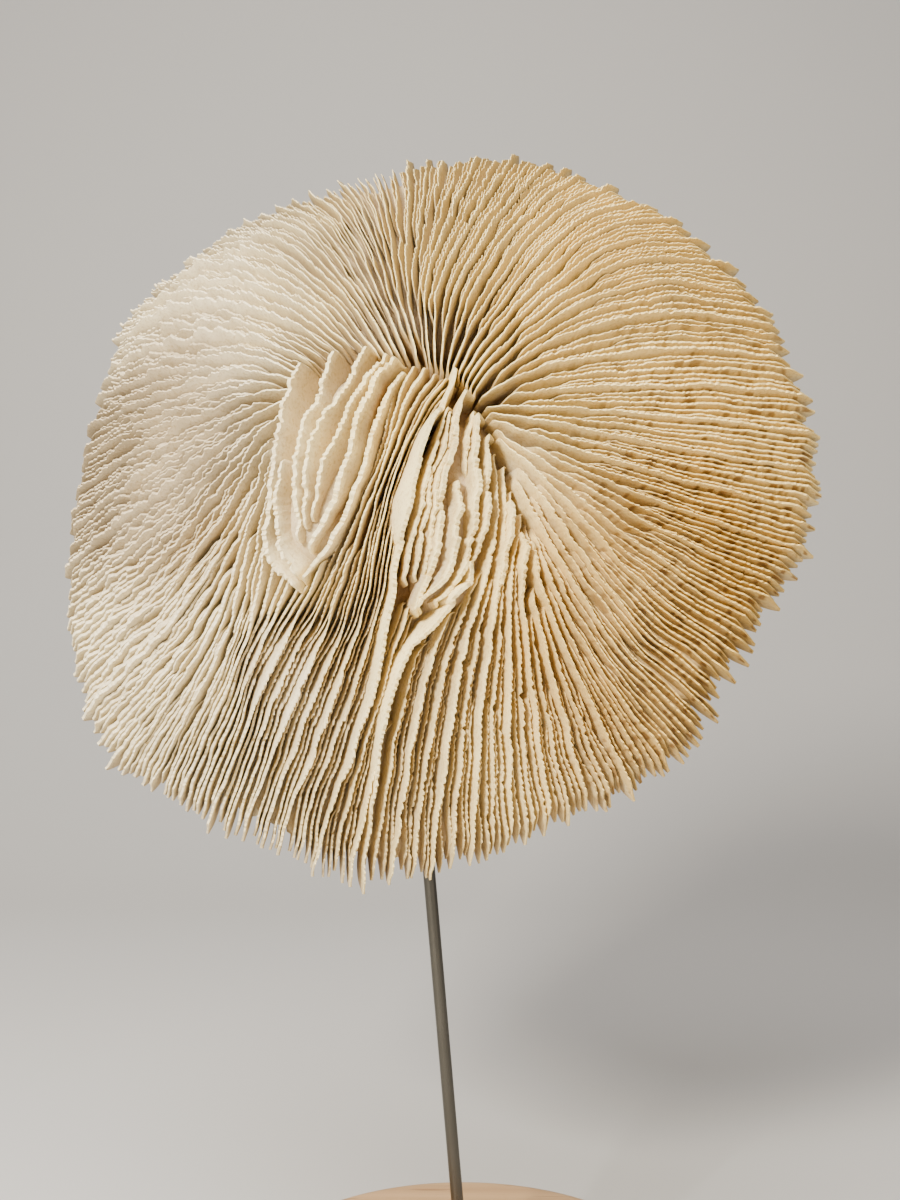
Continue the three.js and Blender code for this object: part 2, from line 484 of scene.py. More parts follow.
def mount_piece(piece: bpy.types.Object, node: str) -> None:
    """Makes a piece stand for a solid: hangs it on the body and hides the solid.

    Args:
        piece: Finished object.
        node: Solid that the piece stands for, which is hidden.
    """
    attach(piece, BODY)
    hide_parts(node)
    LOG.info("%s: %d faces for %s", piece.name, len(piece.data.polygons), node)


@dataclass(frozen=True)
class Guide:
    """One septum traced from the mouth to the rim, which its neighbours follow.

    The mouth is its place in degrees round the lips, near and far are points that it passes, and rim is its
    bearing in degrees and its radius.
    """

    mouth: float
    near: tuple[float, float]
    far: tuple[float, float]
    rim: tuple[float, float]


@dataclass(frozen=True)
class Leader:
    """A tall septum beside the right lobe that was traced by itself before it joins its guide at the rim."""

    guide: int
    line: tuple[tuple[float, float], ...]
    extra_height: float
    half_thickness: float


@dataclass(frozen=True)
class Ribbon:
    """A plate on a lobe.

    line holds points that its crest passes, and tops the crest's height over the dome at its start, middle
    and end.
    """

    line: tuple[tuple[float, float], ...]
    tops: tuple[float, float, float]
    half_thickness: float


@dataclass(frozen=True)
class Spot:
    """How plates stand about one place on the face.

    lean is their slope to the right and up the face, young the height of the youngest as a share of the
    others, bulk the share of the room that they fill, blunt the crest's width as a share of the foot's, waves
    and teeth the strength of those in their crests, and tint how brown their depths are, with 2 for a warm
    brown; that brown is partly a deposit and partly painted shade.
    """

    place: tuple[float, float]
    lean: tuple[float, float]
    young: float
    bulk: float
    blunt: float
    waves: float
    teeth: float
    tint: float


@dataclass(frozen=True)
class Stand:
    """The values of the spots at many places."""

    lean: np.ndarray
    young: np.ndarray
    bulk: np.ndarray
    blunt: np.ndarray
    waves: np.ndarray
    teeth: np.ndarray
    tint: np.ndarray


@dataclass(frozen=True)
class Lobe:
    """A long swelling below the mouth, wider at one end."""

    top: tuple[float, float]
    foot: tuple[float, float]
    half_widths: tuple[float, float]
    height: float

    def reach(self, points: np.ndarray) -> np.ndarray:
        """Distance from the lobe's spine, as a share of its half width.

        Args:
            points: Places on the disc.

        Returns:
            0 on the spine and 1 on the lobe's edge.
        """
        top, foot = np.array(self.top), np.array(self.foot)
        spine = foot - top
        share = np.clip((points - top) @ spine / (spine @ spine), 0.0, 1.0)
        nearest = top + share[..., None] * spine
        width = self.half_widths[0] + share * (self.half_widths[1] - self.half_widths[0])
        return np.linalg.norm(points - nearest, axis=-1) / width

    def rise(self, points: np.ndarray) -> np.ndarray:
        """Height of the lobe over the dome."""
        return self.height * np.sqrt(np.clip(1 - self.reach(points) ** 2, 0.0, 1.0))


@dataclass(frozen=True)
class CoralForm:
    """The coral's driving sizes and its smooth shape without septa, in millimetres on its own disc."""

    centre: tuple[float, float, float] = (-8.4, 20.8, 178.1)
    lean_deg: float = 15.0
    turn_deg: float = 13.0
    dome_height: float = 25.0
    dome_radius: float = 84.0
    rim_underside: float = -4.0
    underside_hollow: float = 8.0
    spot_reach: float = 9.0
    spots: tuple[Spot, ...] = (
        Spot((-13, 0), (-0.35, 0.0), 0.7, 0.5, 0.5, 1.7, 0.4, 0.1),
        Spot((2, 4), (0.0, 0.0), 0.85, 0.62, 0.6, 0.6, 0.8, 2.0),
        Spot((-4, -18), (0.2, 0.0), 0.85, 0.62, 0.6, 0.8, 0.8, 2.0),
        Spot((-18, -25), (-0.3, -0.8), 0.7, 0.5, 0.5, 1.2, 0.8, 0.3),
        Spot((9, 0), (0.6, 0.0), 0.7, 0.5, 0.5, 1.6, 0.6, 1.1),
        Spot((13, -12), (0.95, 0.0), 0.7, 0.5, 0.5, 1.6, 0.6, 1.1),
        Spot((24, -18), (0.85, 0.0), 0.75, 0.6, 0.5, 1.2, 0.8, 0.9),
        Spot((30, -11), (0.45, 0.0), 0.8, 0.55, 0.5, 0.8, 0.5, 0.4),
        Spot((37, -26), (0.35, 0.0), 0.8, 0.55, 0.5, 0.8, 0.5, 0.4),
        Spot((40, 3), (0.0, 0.1), 0.85, 0.65, 0.5, 0.8, 0.5, 0.1),
        Spot((8, -42), (0.62, 0.0), 0.55, 0.4, 0.45, 1.0, 1.1, 0.9),
        Spot((0, -70), (0.55, 0.0), 0.65, 0.6, 0.5, 1.0, 1.1, 0.7),
        Spot((-22, -44), (0.9, -0.5), 0.7, 0.55, 0.5, 1.0, 1.1, 1.0),
        Spot((-36, -58), (0.3, -0.3), 0.8, 0.75, 0.65, 2.0, 0.6, 0.2),
        Spot((-40, -44), (0.1, 0.0), 0.85, 0.95, 0.75, 3.0, 0.3, 0.15),
        Spot((-56, -38), (0.1, 0.1), 0.9, 0.95, 0.8, 3.5, 0.25, 0.0),
        Spot((-33, -28), (0.2, -0.4), 0.85, 0.95, 0.8, 2.5, 0.4, 0.2),
        Spot((-52, -4), (0.0, 0.5), 0.85, 0.9, 0.75, 4.0, 0.35, 0.0),
        Spot((-75, 6), (0.0, 0.2), 0.85, 0.75, 0.6, 2.0, 0.5, 0.1),
        Spot((-45, 40), (-0.1, 0.5), 0.7, 0.85, 0.7, 4.0, 0.4, 0.0),
        Spot((-22, 58), (-0.1, 0.1), 0.7, 0.42, 0.5, 1.2, 1.0, 0.5),
        Spot((5, 58), (0.0, 0.0), 0.78, 0.48, 0.5, 1.0, 1.0, 0.65),
        Spot((38, 52), (0.0, 0.0), 0.85, 0.6, 0.5, 0.8, 0.6, 0.25),
        Spot((62, 8), (0.0, 0.0), 0.9, 0.7, 0.6, 0.8, 0.3, 0.15),
        Spot((48, -32), (0.05, 0.0), 0.9, 0.7, 0.6, 0.8, 0.3, 0.2),
        Spot((28, -60), (0.55, 0.0), 0.8, 0.55, 0.5, 0.7, 1.0, 0.35),
    )
    mouth_line: tuple[tuple[float, float], ...] = (
        (-21, 14), (-14, 18.5), (-5, 20.5), (4, 19.5), (12, 15.5), (18, 8.5), (21, 2), (23, -3.5), (26, -11),
        (28.5, -18),
    )
    mouth_half_width: float = 0.3
    lip_step: float = 1e-3
    mouth_pit_depth: float = 5.0
    mouth_pit_radius: float = 4.5
    mouth_samples: int = 33
    rim_samples: int = 1500
    rim_fine_samples: int = 4001
    lobes: tuple[Lobe, ...] = (
        Lobe((-11, 12), (-15.6, -15), (10.5, 7.5), 6.5),
        Lobe((14.3, 2), (11.0, -25), (6.0, 7.0), 6.0),
    )
    ribbons: tuple[Ribbon, ...] = (
        Ribbon(
            (
                (-20, 20), (-22, 14), (-22.5, 7), (-23, -0.5), (-23, -9), (-23.5, -16), (-22.5, -22.5),
                (-17, -28),
            ),
            (8, 10, 8), 1.1,
        ),
        Ribbon(((-21, -2), (-21.3, -10), (-21, -17), (-19.3, -23), (-16.5, -26)), (9, 9.5, 8.5), 1.0),
        Ribbon(
            (
                (-12.5, 21.5), (-13.5, 16), (-14.5, 10), (-16.5, 3.5), (-17.5, -1.5), (-17.5, -6.5),
                (-16.8, -19),
            ),
            (9, 11, 9), 1.1,
        ),
        Ribbon(
            (
                (-5.5, 22), (-7, 16), (-9, 10.5), (-12, 6), (-14, 2), (-15, -2.5), (-15.5, -7.5),
                (-15.3, -16.5),
            ),
            (9, 11.5, 9), 1.0,
        ),
        Ribbon(
            (
                (-1, 20), (-4, 14.5), (-6.5, 9.5), (-8.5, 3), (-11, -1.5), (-12.5, -5.5), (-13.5, -10.5),
                (-14, -15),
            ),
            (9, 11.5, 8.5), 1.0,
        ),
        Ribbon(
            (
                (1, 19), (-2, 15.5), (-3.5, 11.5), (-5, 6.5), (-6, 1.5), (-6.5, -3.5), (-8, -8), (-11, -14.5),
                (-14.5, -21),
            ),
            (9, 11.5, 8.5), 1.2,
        ),
        Ribbon(
            (
                (2, 17), (-0.5, 11.5), (-2, 5), (-3.5, -1.5), (-5, -7.5), (-7, -13.5), (-9.5, -19),
                (-12.5, -23), (-16, -26.5),
            ),
            (6, 9, 8), 1.0,
        ),
        Ribbon(((12.2, 8), (10.8, 0), (9.3, -7), (8.3, -14), (6.5, -20.5), (5, -27)), (8.5, 10, 8), 0.6),
        Ribbon(((12.6, 7), (12, 0), (10.7, -7), (9.8, -14), (8.4, -20.5), (7, -26.5)), (8.5, 10.2, 8), 0.6),
        Ribbon(((13.2, 6), (12.8, 0), (11.9, -7), (11.2, -14), (10.2, -20), (8.8, -26)), (8.5, 10, 8), 0.6),
        Ribbon(
            ((15.5, 12), (14, 6), (14, -0.5), (13, -7), (12.5, -14), (12, -19.5), (10, -26), (7.5, -32)),
            (8, 10, 8), 1.1,
        ),
        Ribbon(((16.8, 8), (16.2, 2), (16, -3), (16, -6)), (6.5, 8, 7), 0.7),
        Ribbon(
            ((15, -7.5), (16, -12), (15.5, -17.5), (15, -23), (13, -26.5), (10, -29.5), (7, -32.5)),
            (9, 10, 8), 1.0,
        ),
        Ribbon(((17.4, -18), (17, -23), (14.8, -27.6), (11, -31)), (8, 8.5, 8), 0.9),
        Ribbon(((18, 7), (18, 0.5), (19.5, -7), (19.5, -12.5), (19, -17.5), (17, -20.5)), (8, 9.5, 8), 1.1),
        Ribbon(((20, 3), (20.5, -3), (21, -9.5), (21, -14), (19.5, -20), (17.5, -23.5)), (7, 8.5, 7), 0.8),
        Ribbon(((24.5, -10), (25.5, -14.5), (25, -20), (24, -24), (22.5, -30)), (6.5, 7.5, 6), 0.9),
        Ribbon(((26.5, -16), (27.7, -19), (27.8, -23), (27.5, -26), (27, -30)), (6, 7, 6), 0.9),
        Ribbon(((28.5, -17.5), (29.5, -21), (30.3, -25), (31, -29)), (6, 6.5, 6), 0.8),
    )
    leaders: tuple[Leader, ...] = (
        Leader(
            3,
            (
                (12, 18), (11.5, 12), (10.5, 4.5), (8.5, -2), (7.5, -8), (6.5, -15), (4.5, -20.5),
                (2.5, -30.5), (0, -44),
            ),
            1.4, 0.9,
        ),
        Leader(
            4,
            ((18, -23), (18, -26.5), (15, -30.5), (12, -34), (8, -38), (5, -42.5), (3, -47), (0.5, -56)),
            1.5, 0.8,
        ),
    )
    guides: tuple[Guide, ...] = (
        Guide(16, (-24, -8), (-29, -37), (235, 84)),
        Guide(66, (-3, -4), (-17, -35), (242, 82)),
        Guide(78, (1, -3), (-7, -37), (251, 81)),
        Guide(89, (8, -5), (1.4, -37), (259, 82.5)),
        Guide(96, (20.5, -11), (7.5, -38.5), (267, 82)),
        Guide(108, (22.5, -17), (17, -46), (279, 79.5)),
        Guide(170, (27.5, -25), (30, -46), (296, 77.7)),
        Guide(228.5, (29.5, -22.5), (37, -40), (309, 78.5)),
        Guide(241, (29, -14), (43, -38), (318, 79.4)),
        Guide(253, (31.5, -6.5), (50.5, -26), (332, 77)),
        Guide(256, (31.5, -3.5), (56, -17), (343, 79)),
        Guide(258.5, (33, -1), (57, -8), (352.3, 82)),
        Guide(262.5, (34, 5.3), (58, 2.3), (2, 83.2)),
        Guide(266, (33.5, 11.5), (58, 14), (12, 83.5)),
        Guide(270, (32, 31), (50, 42), (32, 83)),
        Guide(276, (23, 37), (36, 58), (54, 82)),
        Guide(285, (5, 39), (9, 62), (82, 83.5)),
        Guide(292, (-5, 38), (-16, 61), (110, 82)),
        Guide(300, (-17, 40), (-37, 58), (131, 87.5)),
        Guide(310, (-29, 36), (-53, 46), (150, 91)),
        Guide(332, (-37, 25), (-57, 26), (161, 85)),
        Guide(344, (-37, 10), (-56, 3), (184, 83)),
        Guide(352, (-34, -4), (-50, -20), (203, 86)),
        Guide(360, (-30, -17), (-43, -37), (219, 89)),
    )

    def axes(self) -> np.ndarray:
        """Directions of the disc's own frame.

        Returns:
            Unit vectors to the right, up the face and out of the face, one in each row.
        """
        lean, turn = math.radians(self.lean_deg), math.radians(self.turn_deg)
        right = np.array([math.cos(turn), -math.sin(turn), 0.0])
        out = np.array([-math.sin(turn) * math.cos(lean), -math.cos(turn) * math.cos(lean), math.sin(lean)])
        return np.array([right, np.cross(out, right), out])

    def to_world(self, points: np.ndarray) -> np.ndarray:
        """Places in metres of points on the disc in millimetres."""
        return (np.array(self.centre) + points @ self.axes()) * MM

    def lip_point(self, degrees: float) -> np.ndarray:
        """A point on the lips.

        Args:
            degrees: 0 to 180 runs along the lower lip from left to right, the rest back along the upper lip.

        Returns:
            Place on the disc.
        """
        turn = math.radians(degrees)
        line = np.array(self.mouth_line, float)
        along = (1 - math.cos(turn)) / 2
        steps = np.array([along - self.lip_step, along, along + self.lip_step])
        before, middle, after = spline(line, steps, False)
        tangent = (after - before) / np.linalg.norm(after - before)
        reach = self.mouth_half_width * math.sin(turn)
        return middle + reach * np.array([tangent[1], -tangent[0]])

    def rings(self) -> list[np.ndarray]:
        """Rings that every guide passes.

        Returns:
            Four rings of guide points, from the mouth to the rim.
        """
        rims = []
        for guide in self.guides:
            turn = math.radians(guide.rim[0])
            rims.append((guide.rim[1] * math.cos(turn), guide.rim[1] * math.sin(turn)))
        return [
            np.array([self.lip_point(guide.mouth) for guide in self.guides]),
            np.array([guide.near for guide in self.guides], float),
            np.array([guide.far for guide in self.guides], float),
            np.array(rims),
        ]

    def flow_lines(self, around: np.ndarray, along: np.ndarray) -> np.ndarray:
        """Points of the septa's lines, by place round the rings and from the mouth to the rim."""
        crossings = np.stack([spline(ring, around, True) for ring in self.rings()], axis=1)
        return np.stack([spline(points, along, False) for points in crossings])

    def rim_places(self, count: int, first_guide: int) -> np.ndarray:
        """Places round the rings that are evenly spaced along the rim.

        Args:
            count: Number of places.
            first_guide: Guide that the first place lies on.

        Returns:
            Places from 0 to 1.
        """
        fine = np.linspace(0.0, 1.0, self.rim_fine_samples) + first_guide / len(self.guides)
        rim = spline(self.rings()[-1], fine, True)
        length = run_length(rim)
        wanted = np.arange(count) / count * length[-1]
        return np.mod(np.interp(wanted, length, fine), 1.0)

    def rim_radius(self, bearings: np.ndarray) -> np.ndarray:
        """Radius of the rim.

        Args:
            bearings: Bearings from the disc's centre, in radians.

        Returns:
            One radius for each bearing.
        """
        around = np.linspace(0.0, 1.0, self.rim_samples, endpoint=False)
        rim = spline(self.rings()[-1], around, True)
        angle = np.mod(np.arctan2(rim[:, 1], rim[:, 0]), math.tau)
        order = np.argsort(angle)
        return np.interp(
            np.mod(bearings, math.tau), angle[order], np.linalg.norm(rim, axis=1)[order], period=math.tau
        )

    def mouth_depth(self, points: np.ndarray) -> np.ndarray:
        """Depth of the pit that the mouth lies in.

        Args:
            points: Places on the disc.

        Returns:
            Depth at each place.
        """
        line = spline(np.array(self.mouth_line, float), np.linspace(0.0, 1.0, self.mouth_samples), False)
        gaps = np.linalg.norm(points[..., None, :] - line, axis=-1).min(axis=-1)
        return self.mouth_pit_depth * np.exp(-((gaps / self.mouth_pit_radius) ** 2))

    def dome(self, points: np.ndarray) -> np.ndarray:
        """Height of the plain dome."""
        return self.dome_height * (1 - (np.linalg.norm(points, axis=-1) / self.dome_radius) ** 2)

    def floor(self, points: np.ndarray) -> np.ndarray:
        """Height of the face between the septa."""
        lobes = np.max([lobe.rise(points) for lobe in self.lobes], axis=0)
        return self.dome(points) + lobes - self.mouth_depth(points)

    def stand(self, points: np.ndarray) -> Stand:
        """How plates stand at many places, by their nearness to the spots.

        Args:
            points: Places on the disc.

        Returns:
            The values at each place.
        """
        places = np.array([spot.place for spot in self.spots], float)
        gaps = np.sum((points[..., None, :] - places) ** 2, axis=-1)
        weights = 1 / (gaps + self.spot_reach**2) ** 2
        weights /= weights.sum(axis=-1, keepdims=True)

        def mean(name: str) -> np.ndarray:
            """One value of the spots, weighted at each place."""
            return weights @ np.array([getattr(spot, name) for spot in self.spots], float)

        names = ("lean", "young", "bulk", "blunt", "waves", "teeth", "tint")
        return Stand(*(mean(name) for name in names))

    def underside(self, radius: np.ndarray) -> np.ndarray:
        """Height of the hollow underside at a radius."""
        return self.rim_underside + self.underside_hollow * (1 - (radius / self.dome_radius) ** 2)

    def dome_normal(self, points: np.ndarray, share: float | np.ndarray) -> np.ndarray:
        """Directions that stand on the dome.

        Args:
            points: Places on the disc.
            share: 1 stands square on the dome, 0 straight out of the disc.

        Returns:
            Unit vectors in the disc's frame.
        """
        slope = 2 * self.dome_height / self.dome_radius**2 * np.asarray(share)
        normal = np.concatenate([points * slope[..., None], np.ones_like(points[..., :1])], axis=-1)
        return normal / np.linalg.norm(normal, axis=-1, keepdims=True)

    def upright(self, points: np.ndarray, share: float | np.ndarray, lean: np.ndarray) -> np.ndarray:
        """Directions of plates that stand on the dome and lean aside.

        Args:
            points: Places on the disc.
            share: 1 stands square on the dome, 0 straight out of the disc.
            lean: Slope to the right and up the face at each place.

        Returns:
            Unit vectors in the disc's frame.
        """
        up = self.dome_normal(points, share)
        up[:, :2] += lean
        return up / np.linalg.norm(up, axis=1, keepdims=True)


class LineSet:
    """Separate lines with the values that a blade needs at every point."""

    def __init__(self) -> None:
        """Starts with no lines."""
        self.counts: list[int] = []
        self.columns: dict[str, list[np.ndarray]] = {}

    def add(self, **columns: np.ndarray) -> None:
        """Adds one line.

        Args:
            **columns: Values by name, one row for each point. The points themselves are named foot.
        """
        self.counts.append(len(columns["foot"]))
        for name, values in columns.items():
            self.columns.setdefault(name, []).append(values)

    def to_object(self, name: str) -> bpy.types.Object:
        """Makes a mesh of edges that carries the values.

        Args:
            name: Name of the object.

        Returns:
            The new object.
        """
        joined = {key: np.concatenate(values) for key, values in self.columns.items()}
        firsts = np.cumsum([0, *self.counts[:-1]])
        edges = np.concatenate([
            np.stack([np.arange(first, first + count - 1), np.arange(first + 1, first + count)], axis=1)
            for first, count in zip(firsts, self.counts)
        ])
        mesh = bpy.data.meshes.new(name)
        mesh.vertices.add(len(joined["foot"]))
        mesh.vertices.foreach_set("co", joined["foot"].astype(np.float32).ravel())
        mesh.edges.add(len(edges))
        mesh.edges.foreach_set("vertices", edges.astype(np.int32).ravel())
        for key, values in joined.items():
            is_vector = values.ndim == 2
            made = mesh.attributes.new(key, "FLOAT_VECTOR" if is_vector else "FLOAT", "POINT")
            made.data.foreach_set("vector" if is_vector else "value", values.astype(np.float32).ravel())
        mesh.update()
        return as_object(name, mesh)


@dataclass(frozen=True)
class BladeLook:
    """Sizes of the small forms on blades, in millimetres."""

    section_points: int = 6
    tooth_pitch: float = 1.25
    tooth_depth: float = 0.85
    wave_length: float = 7.0
    wave_depth: float = 0.7
    sway_length: float = 11.0
    sway: float = 0.5
    seed: float = 3.0


class Row(Enum):
    """Rows of the noise along a blade, one for each small form on it."""

    GRAIN = 0.0
    WAVE = 4.0
    SWAY = 9.0
    NOTCH = 12.0
    LUMP = 17.0
    RIPPLE = 23.0
    DASH = 30.0


class BladeTree:
    """Geometry nodes that turn lines into thin upright blades with toothed crests.

    ring_rise turns the height of a ring of six points into 0 to 1, squareness is the power that flattens the
    ring's sides, foot_width the width of a blade's foot as a share of its thickness, and row_gap the step in
    the noise from blade to blade. A zone is where a share starts and ends to rise. Lengths are in tooth
    pitches, apart from the ripple's, which is in wave lengths.
    """

    ring_rise: float = 0.57735
    squareness: float = 0.35
    foot_width: float = 1.25
    row_gap: float = 7.31
    crest_zone: tuple[float, float] = (0.55, 1.0)
    jitter_share: float = 2.4
    jitter_length: float = 3.0
    saw_share: float = 0.5
    grain_share: float = 0.5
    grain_scale: float = 1.3
    notch_depth: float = 1.2
    notch_length: float = 2.4
    notch_zone: tuple[float, float] = (0.6, 0.7)
    ripple_share: float = 0.6
    ripple_length: float = 0.35
    drift_share: float = 1.4
    sway_scale: float = 1.7
    least_lump: float = 0.7
    lump_share: float = 0.6
    lump_length: float = 2.0
    dash_length: float = 1.3
    dash_zone: tuple[float, float] = (0.54, 0.6)

    def __init__(self) -> None:
        """Builds the tree once."""
        self.graph = GeometryGraph("upright blades")
        self._build()

    def _build(self) -> None:
        """Adds the nodes."""
        g = self.graph
        section_points = g.size("Section Points", "NodeSocketInt")
        pitch = g.size("Tooth Pitch")
        tooth_depth = g.size("Tooth Depth")
        wave_length = g.size("Wave Length")
        wave_depth = g.size("Wave Depth")
        sway_length = g.size("Sway Length")
        sway = g.size("Sway")
        seed = g.size("Seed")
        ring = g.signal(
            "GeometryNodeCurvePrimitiveCircle", None, {"Resolution": section_points, "Radius": 1.0}
        )
        spot = g.signal("GeometryNodeInputPosition")
        profile = g.store(ring, "section", spot, "FLOAT_VECTOR")
        rails = g.signal("GeometryNodeMeshToCurve", None, {"Mesh": g.source()})
        rods = g.signal(
            "GeometryNodeCurveToMesh", None, {"Curve": rails, "Profile Curve": profile, "Fill Caps": True}
        )
        split = g.node("ShaderNodeSeparateXYZ", None, {0: g.named("section", "FLOAT_VECTOR")})
        across = self._squared(Signal(g, split.outputs[0]), self.squareness)
        level = Signal(g, split.outputs[1]) * self.ring_rise + 0.5
        foot, up = g.named("foot", "FLOAT_VECTOR"), g.named("up", "FLOAT_VECTOR")
        side = g.named("side", "FLOAT_VECTOR")
        along, septum = g.named("along"), g.named("septum")
        crest = g.step(level, *self.crest_zone)
        own_row = septum * self.row_gap + seed

        def wander(
            length: Signal, row: Any, scale: float = 1.0, detail: float = 1.0, roughness: float = 0.5
        ) -> Signal:
            """Noise along a blade, of a length and a row of its own, that differs from blade to blade."""
            return g.noise(g.triple(along / length, own_row, row), scale, detail, roughness)

        jitter = wander(pitch * self.jitter_length, seed)
        saw = g.math("PINGPONG", along / pitch + jitter * self.jitter_share, 0.5) * 4.0 - 1.0
        grain = wander(pitch, Row.GRAIN.value, self.grain_scale, 2.0, 0.6) - 0.5
        wave = wander(wave_length, Row.WAVE.value) - 0.5
        ripple = wander(wave_length * self.ripple_length, Row.RIPPLE.value) - 0.5
        notch = g.step(wander(pitch * self.notch_length, Row.NOTCH.value), *self.notch_zone)
        toothing = g.named("toothing")
        cut = (saw * self.saw_share - notch * self.notch_depth) * toothing
        tooth = (cut + grain * (self.grain_share + toothing)) * tooth_depth
        waving = (wave + ripple * self.ripple_share) * 2.0 * wave_depth * g.named("waving")
        lift = (tooth + waving) * crest * g.named("crest_room")
        drift = g.noise(g.scaled(foot, g.math("DIVIDE", 1.0, sway_length)), 1.0, 1.0) - 0.5
        own = wander(sway_length, Row.SWAY.value, self.sway_scale) - 0.5
        lean = (drift * self.drift_share + own) * 2.0 * sway * level * g.named("crest_room")
        taper = self.foot_width - (self.foot_width - g.named("blunt")) * level
        lumps = wander(pitch * self.lump_length, Row.LUMP.value, detail=2.0)
        lump = self.least_lump + lumps * self.lump_share
        width = across * g.named("half_thickness") * taper * lump + lean
        spot = foot + up * (level * g.named("height") + lift) + side * width
        shaped = g.signal("GeometryNodeSetPosition", None, {"Geometry": rods, "Position": spot})
        # The level, lower at a plate's foot and on shorter plates, darkens the material there, partly as a
        # brown deposit and partly as painted shade; the dashes mark painted shade.
        dash = g.step(wander(pitch * self.dash_length, Row.DASH.value), *self.dash_zone)
        marked = g.store(shaped, Keeps.LEVEL.value, level * g.named("reach"))
        g.end(g.store(marked, Keeps.DASH.value, dash))

    def _squared(self, value: Signal, power: float) -> Signal:
        """Pushes a value from -1 to 1 towards its ends, so that a round section becomes a blade."""
        g = self.graph
        return g.math("SIGN", value) * g.math("ABSOLUTE", value) ** power

    def blades(
        self, name: str, lines: LineSet, look: BladeLook, finish: bpy.types.Material
    ) -> bpy.types.Object:
        """Grows blades on lines.

        Args:
            name: Name of the piece.
            lines: Lines with their values, in metres.
            look: Sizes of the small forms.
            finish: Material of the piece.

        Returns:
            The finished object.
        """
        values = {
            "Section Points": look.section_points,
            "Tooth Pitch": look.tooth_pitch * MM,
            "Tooth Depth": look.tooth_depth * MM,
            "Wave Length": look.wave_length * MM,
            "Wave Depth": look.wave_depth * MM,
            "Sway Length": look.sway_length * MM,
            "Sway": look.sway * MM,
            "Seed": look.seed,
            "Finish": finish,
        }
        mesh = self.graph.grow(lines.to_object(name), values)
        kept = {item.value for item in Keeps}
        for spent in [a.name for a in mesh.attributes if not a.is_required and not a.is_internal]:
            if spent not in kept and spent in {*lines.columns, "section"}:
                mesh.attributes.remove(mesh.attributes[spent])
        face_outwards(mesh)
        return as_object(name, mesh)


@dataclass(frozen=True)
class Patch:
    """A soft round patch on the face.

    centre and reach are its place and half size across and up in metres, ragged how far noise moves its edge,
    and edge where it starts and ends to fade, both as shares of the reach.
    """

    centre: tuple[float, float]
    reach: tuple[float, float]
    ragged: float
    edge: tuple[float, float]

    def share(self, g: ShaderGraph, across: Signal, up: Signal, cloud: Signal) -> Signal:
        """Strength of the patch.

        Args:
            g: Tree of the material.
            across: Place across, in metres.
            up: Place upwards, in metres.
            cloud: Noise from 0 to 1.

        Returns:
            1 inside the patch and 0 outside.
        """
        aside = (across - self.centre[0]) / self.reach[0]
        above = (up - self.centre[1]) / self.reach[1]
        far = g.math("SQRT", aside * aside + above * above) + (cloud - 0.5) * self.ragged
        return 1.0 - g.step(far, *self.edge)


